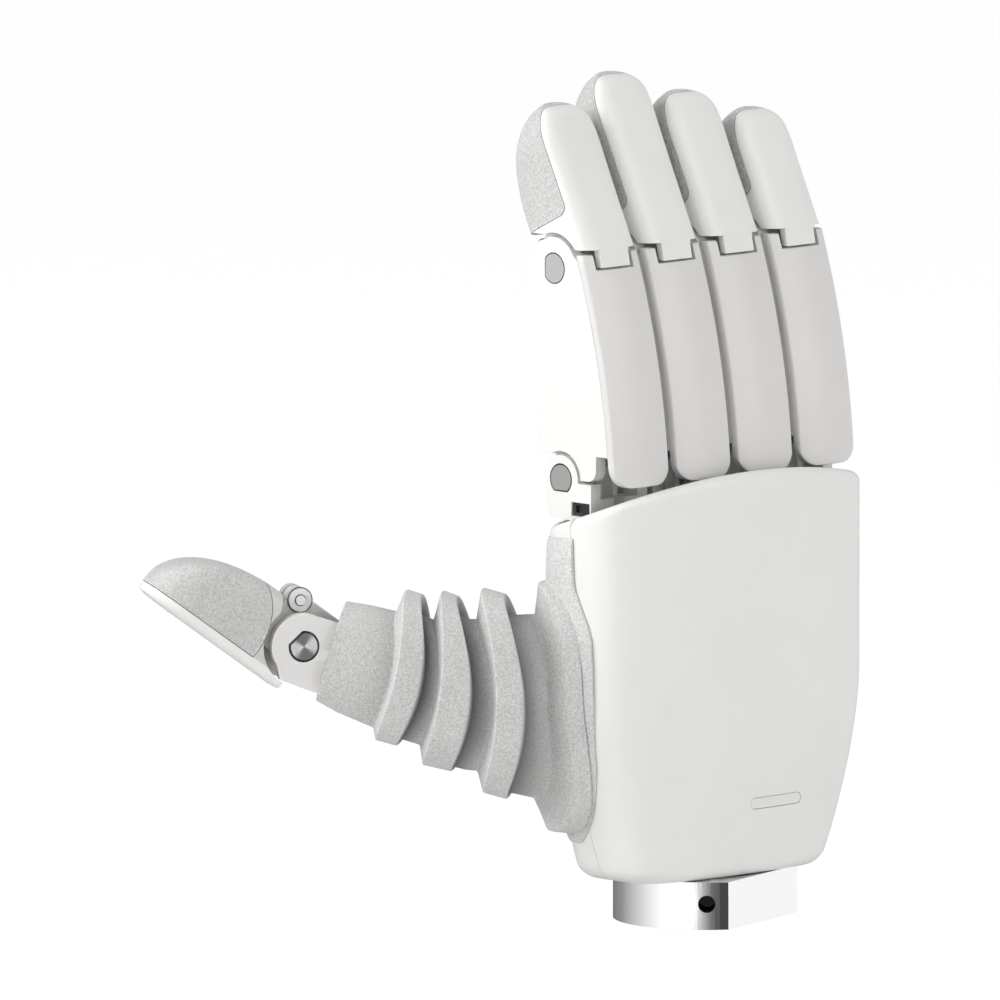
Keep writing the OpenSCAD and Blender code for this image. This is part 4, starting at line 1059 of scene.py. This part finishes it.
def crank_piece(name, pivot, crank, side, put):
    """The crank pin with a flat head at one end and, on the given side, a washer and a
    retaining clip near the other."""
    at = np.array(pivot) + np.array(crank)
    pin = object_from(name + "_crank_finished",
                      cross_prism(circle(at, CRANK_R, 48), -CRANK_HALF, CRANK_HALF))
    near, far = CLIP_SPAN
    ring = clip_outline(CLIP_R, CRANK_R - 0.02, CLIP_OPEN, -math.pi / 2)
    cut(pin, [cross_prism(outline, *sorted((side * low, side * high))) for outline, low, high in (
        (circle(at, HEAD_R, 48), -CRANK_HALF, -LUG_OUT),
        (circle(at, WASHER_R, 48), near - 0.05, near + 0.1), (at + ring, near, far))], "UNION")
    return settle(pin, put)


def finger_put(i):
    """Carries a finger's own frame into the hand."""
    shift = np.array([(i - 1.5) * FINGER_PITCH, 0, MCP_Z])
    return lambda p: p + shift


# ---------- operators ----------

class HAND_OT_materials(bpy.types.Operator):
    """Make all the finishes"""

    bl_idname = "hand.materials"
    bl_label = "Materials"

    def execute(self, context):
        MATERIALS.update(make_materials(context.scene.hand_looks))
        return {"FINISHED"}


class HAND_OT_palm(bpy.types.Operator):
    """Build the two palm shells, the lens, the palm's soft sheet and the thumb's skin"""

    bl_idname = "hand.palm"
    bl_label = "Palm"

    def execute(self, context):
        edge = context.scene.hand_looks.edge
        back = object_from("back_shell", shell(
            "back_shell", -1, BACK_CROWN_R, -PARTING_Y, BACK_RIM_R))
        cut(back, [window_tool(), lens_tool(LENS_GAP, 4)])
        finish_piece(settle(back), "white", "back_cover")
        palm = object_from("palm_shell", shell(
            "palm_shell", 1, PALM_CROWN_R, PARTING_Y + 0.1, PALM_RIM_R))
        cut(palm, [window_tool(), *screw_tools()])
        finish_piece(settle(palm), "white", "palm_cover")
        skin = object_from("thumb_skin_sheet", skin_surface())
        cut(skin, [window_tool(0.5)])
        finish_piece(settle(skin), "skin", "thumb_skin", 50)
        machined("status_lens", "lens", 0.00015)
        machined("palm_pad", "rubber", 0.0004)
        machined("cover_screws", "screw", edge)
        return {"FINISHED"}


class HAND_OT_wrist(bpy.types.Operator):
    """Finish the wrist flange and its screws"""

    bl_idname = "hand.wrist"
    bl_label = "Wrist flange"

    def execute(self, context):
        machined("wrist_flange", "flange", 0.00012, 25)
        machined("flange_screws", "screw", 0.0002)
        return {"FINISHED"}


class HAND_OT_inside(bpy.types.Operator):
    """Finish the frame, the motors and the control board inside the palm"""

    bl_idname = "hand.inside"
    bl_label = "Inside of the palm"

    def execute(self, context):
        machined("palm_frame", "frame", 0.0)
        machined("control_board", "board", 0.0)
        for name in (*FINGERS, "thumb"):
            machined(name + "_motor", "motor", 0.0003)
        return {"FINISHED"}


class HAND_OT_fingers(bpy.types.Operator):
    """Finish the knuckles, links, covers, pins and rods of the four fingers"""

    bl_idname = "hand.fingers"
    bl_label = "Fingers"

    def execute(self, context):
        edge = context.scene.hand_looks.edge
        for name in FINGERS:
            machined(name + "_knuckle", "white", edge)
            machined(name + "_link", "white", edge)
            machined(name + "_back", "cover", 0.0003, 40)
            machined(name + "_pin", "pin", 0.00022, 28, True)
            machined(name + "_coupler", "rod", 0.0002)
        machined("knuckle_pins", "knuckle_pin", 0.00022, 28, True)
        machined("service_port", "dark", 0.0001)
        return {"FINISHED"}


class HAND_OT_tips(bpy.types.Operator):
    """Build the five tips, their pads and their crank pins with clips"""

    bl_idname = "hand.tips"
    bl_label = "Fingertips"

    def execute(self, context):
        for i, name in enumerate(FINGERS):
            put = finger_put(i)
            self.dress(name, digit_pieces(name, PIP, TIP_TILT, TIP_LEN[i], HALF_W, TIP_BACK, TIP_FACE,
                                          EAR_R, CRANK_AT, put),
                       crank_piece(name, PIP, CRANK_AT, -1, put), "white", "clip")
        outer = (0.0, THUMB_L)
        self.dress("thumb", digit_pieces("thumb", outer, THUMB_TIP_TILT, THUMB_TIP_LEN, THUMB_HALF,
                                         THUMB_BACK, THUMB_FACE, EAR_R + 0.3, THUMB_CRANK_AT,
                                         into_thumb, THUMB_PAD_AT),
                   crank_piece("thumb", outer, THUMB_CRANK_AT, 1, into_thumb), "thumb_tip", "thumb_clip")
        return {"FINISHED"}

    def dress(self, name, pieces, crank, tip_finish, clip_finish):
        tip, pad = pieces
        finish_piece(tip, tip_finish, name + "_tip")
        finish_piece(pad, "pad", name + "_pad", 40)
        finish_piece(crank, clip_finish, name + "_crank")


class HAND_OT_thumb(bpy.types.Operator):
    """Finish the thumb's carrier, plates, pins and rod"""

    bl_idname = "hand.thumb"
    bl_label = "Thumb"

    def execute(self, context):
        edge = context.scene.hand_looks.edge
        machined("thumb_carrier", "plate", 0.0)
        machined("thumb_pivots", "rod", 0.0)
        machined("thumb_link", "plate", edge)
        machined("thumb_pin", "turned", 0.00045, 28, True)
        machined("thumb_coupler", "plate", 0.0004)
        return {"FINISHED"}


class HAND_OT_boot(bpy.types.Operator):
    """Build the ribbed boot in two lengths"""

    bl_idname = "hand.boot"
    bl_label = "Boot"

    def execute(self, context):
        radius = context.scene.hand_looks.rib_round / MM
        upper = object_from("boot_sleeve", boot_mesh(
            "boot_sleeve", upper_ring, UPPER_PAINTED_SHADE_AND_SMOOTHING, UPPER_CORE, radius, True))
        finish_piece(settle(upper), "boot", "thumb_boot", 60, False)
        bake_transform(upper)
        lower = object_from("boot_root", boot_mesh(
            "boot_root", lower_ring, LOWER_PAINTED_SHADE_AND_SMOOTHING, LOWER_CORE, radius))
        finish_piece(settle(lower), "boot", "thumb_boot_base", 60, False)
        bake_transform(lower)
        return {"FINISHED"}


# tones of the studio that reflections see: a share of a full turn, and a level
STUDIO_TONES = ((0.0, 0.12), (0.14, 0.27), (0.24, 0.6), (0.34, 1.0), (0.448, 1.0), (0.48, 0.45),
                (0.512, 0.16), (0.545, 0.06), (0.572, 0.045), (0.595, 0.86), (0.75, 0.86),
                (0.87, 0.89), (0.95, 0.4), (1.0, 0.12))
# lamps: name, direction as parts to the right, towards the camera and up, and size
LAMPS = (("key", -0.80, 0.50, 0.45, 0.8), ("fill", 0.85, 0.50, 0.30, 0.8),
         ("top", -0.25, 0.10, 1.00, 0.7))
LAMP_REACH, VIEW_MIDDLE, SENSOR, FLOOR_HALF, FLOOR_Z = 1.1, (-0.0465, 0.0932), 36, 4000, -0.2


class HAND_OT_studio(bpy.types.Operator):
    """Set up the camera, the lights and the pale floor"""

    bl_idname = "hand.studio"
    bl_label = "Studio"

    def execute(self, context):
        studio = context.scene.hand_studio
        a, e = studio.azimuth, studio.elevation
        right = Vector((math.cos(a), math.sin(a), 0))
        back = Vector((math.sin(a) * math.cos(e), -math.cos(a) * math.cos(e), math.sin(e)))
        up = back.cross(right)
        middle = right * VIEW_MIDDLE[0] + up * VIEW_MIDDLE[1]
        distance = studio.view_width * studio.lens / SENSOR
        camera = bpy.data.cameras.new("Camera")
        camera.lens = studio.lens
        camera.sensor_width = SENSOR
        camera.clip_end = 50
        seat = bpy.data.objects.new("Camera", camera)
        seat.matrix_world = Matrix.Translation(middle + back * distance) @ Matrix(
            (right, up, back)).transposed().to_4x4()
        context.scene.collection.objects.link(seat)
        context.scene.camera = seat
        for name, side, towards, height, size in LAMPS:
            away = (right * side + back * towards + up * height).normalized()
            self.lamp(name.title(), middle + away * LAMP_REACH, middle, size, getattr(studio, name))
        self.floor()
        context.scene.world = self.world(studio.ambient, right, back)
        context.scene.view_settings.view_transform = "Standard"
        return {"FINISHED"}

    def lamp(self, name, at, target, size, watts):
        """A square area lamp that points at the hand."""
        data = bpy.data.lights.new(name, "AREA")
        data.size = size
        data.energy = watts
        obj = bpy.data.objects.new(name, data)
        turn = (target - at).to_track_quat("-Z", "Y").to_matrix().to_4x4()
        obj.matrix_world = Matrix.Translation(at) @ turn
        bpy.context.scene.collection.objects.link(obj)

    def floor(self):
        """A wide floor just under the flange: white to the camera but for the hand's shadow, and
        clear to reflections, which show the studio instead."""
        corners = [(FLOOR_HALF * x, FLOOR_HALF * y, FLOOR_Z)
                   for x, y in ((-1, -1), (1, -1), (1, 1), (-1, 1))]
        floor = settle(object_from("floor", mesh_from("floor", corners, [(0, 1, 2, 3)])))
        g = Graph("Pale Floor")
        camera, glossy = g.rays()
        matte = g.node("ShaderNodeBsdfDiffuse", None, {"Color": (0.86, 0.86, 0.86, 1)})
        glow = g.node("ShaderNodeEmission", None, {"Color": (1, 1, 1, 1), "Strength": 1.12})
        clear = g.node("ShaderNodeBsdfTransparent")
        seen = g.node("ShaderNodeMixShader", None, {0: camera * 0.82, 1: matte, 2: glow})
        g.output_shader(g.node("ShaderNodeMixShader", None, {0: glossy, 1: seen, 2: clear}))
        floor.data.materials.append(g.material)

    def world(self, ambient, right, back):
        """White to the camera, a plain grey light on the hand, and to reflections a white studio
        with a dark strip beside the camera and a dim corner behind the hand on the left."""
        g = Graph("Studio", True)
        camera, glossy = g.rays()
        way = g.node("ShaderNodeTexCoord", out="Generated")
        turn = g.dot(way, right).angle(g.dot(way, back)) / (2 * math.pi) + 0.5
        tone = g.node("ShaderNodeValToRGB", None, {"Fac": turn}, stops=[
            (place, (level, level, level)) for place, level in STUDIO_TONES])
        light = g.node("ShaderNodeBackground", None, {"Color": (1, 1, 1, 1), "Strength": ambient})
        white = g.node("ShaderNodeBackground", None, {"Color": (1, 1, 1, 1), "Strength": 1.0})
        studio = g.node("ShaderNodeBackground", None, {"Color": tone, "Strength": 1.18})
        lit = g.node("ShaderNodeMixShader", None, {0: glossy, 1: light, 2: studio})
        g.output_shader(g.node("ShaderNodeMixShader", None, {0: camera, 1: lit, 2: white}))
        return g.material


OPERATORS = (HAND_OT_studio, HAND_OT_materials, HAND_OT_palm, HAND_OT_wrist, HAND_OT_inside,
             HAND_OT_fingers, HAND_OT_tips, HAND_OT_thumb, HAND_OT_boot)


class HAND_PT_panel(bpy.types.Panel):
    """Lists the steps that dress the hand"""

    bl_idname = "HAND_PT_panel"
    bl_label = "Robot Hand"
    bl_space_type = "VIEW_3D"
    bl_region_type = "UI"
    bl_category = "Robot Hand"

    def draw(self, context):
        layout = self.layout
        for group in (context.scene.hand_looks, context.scene.hand_studio):
            for key in group.__annotations__:
                layout.prop(group, key)
        for step in OPERATORS:
            layout.operator(step.bl_idname)


CLASSES = (HandLooks, StudioSettings, *OPERATORS, HAND_PT_panel)


def register():
    for cls in CLASSES:
        bpy.utils.register_class(cls)
    bpy.types.Scene.hand_looks = bpy.props.PointerProperty(type=HandLooks)
    bpy.types.Scene.hand_studio = bpy.props.PointerProperty(type=StudioSettings)


def unregister():
    del bpy.types.Scene.hand_studio
    del bpy.types.Scene.hand_looks
    for cls in reversed(CLASSES):
        bpy.utils.unregister_class(cls)


def main():
    register()
    for step in OPERATORS:
        group, name = step.bl_idname.split(".")
        getattr(getattr(bpy.ops, group), name)()
    bpy.context.view_layer.update()


if __name__ == "__main__":
    main()
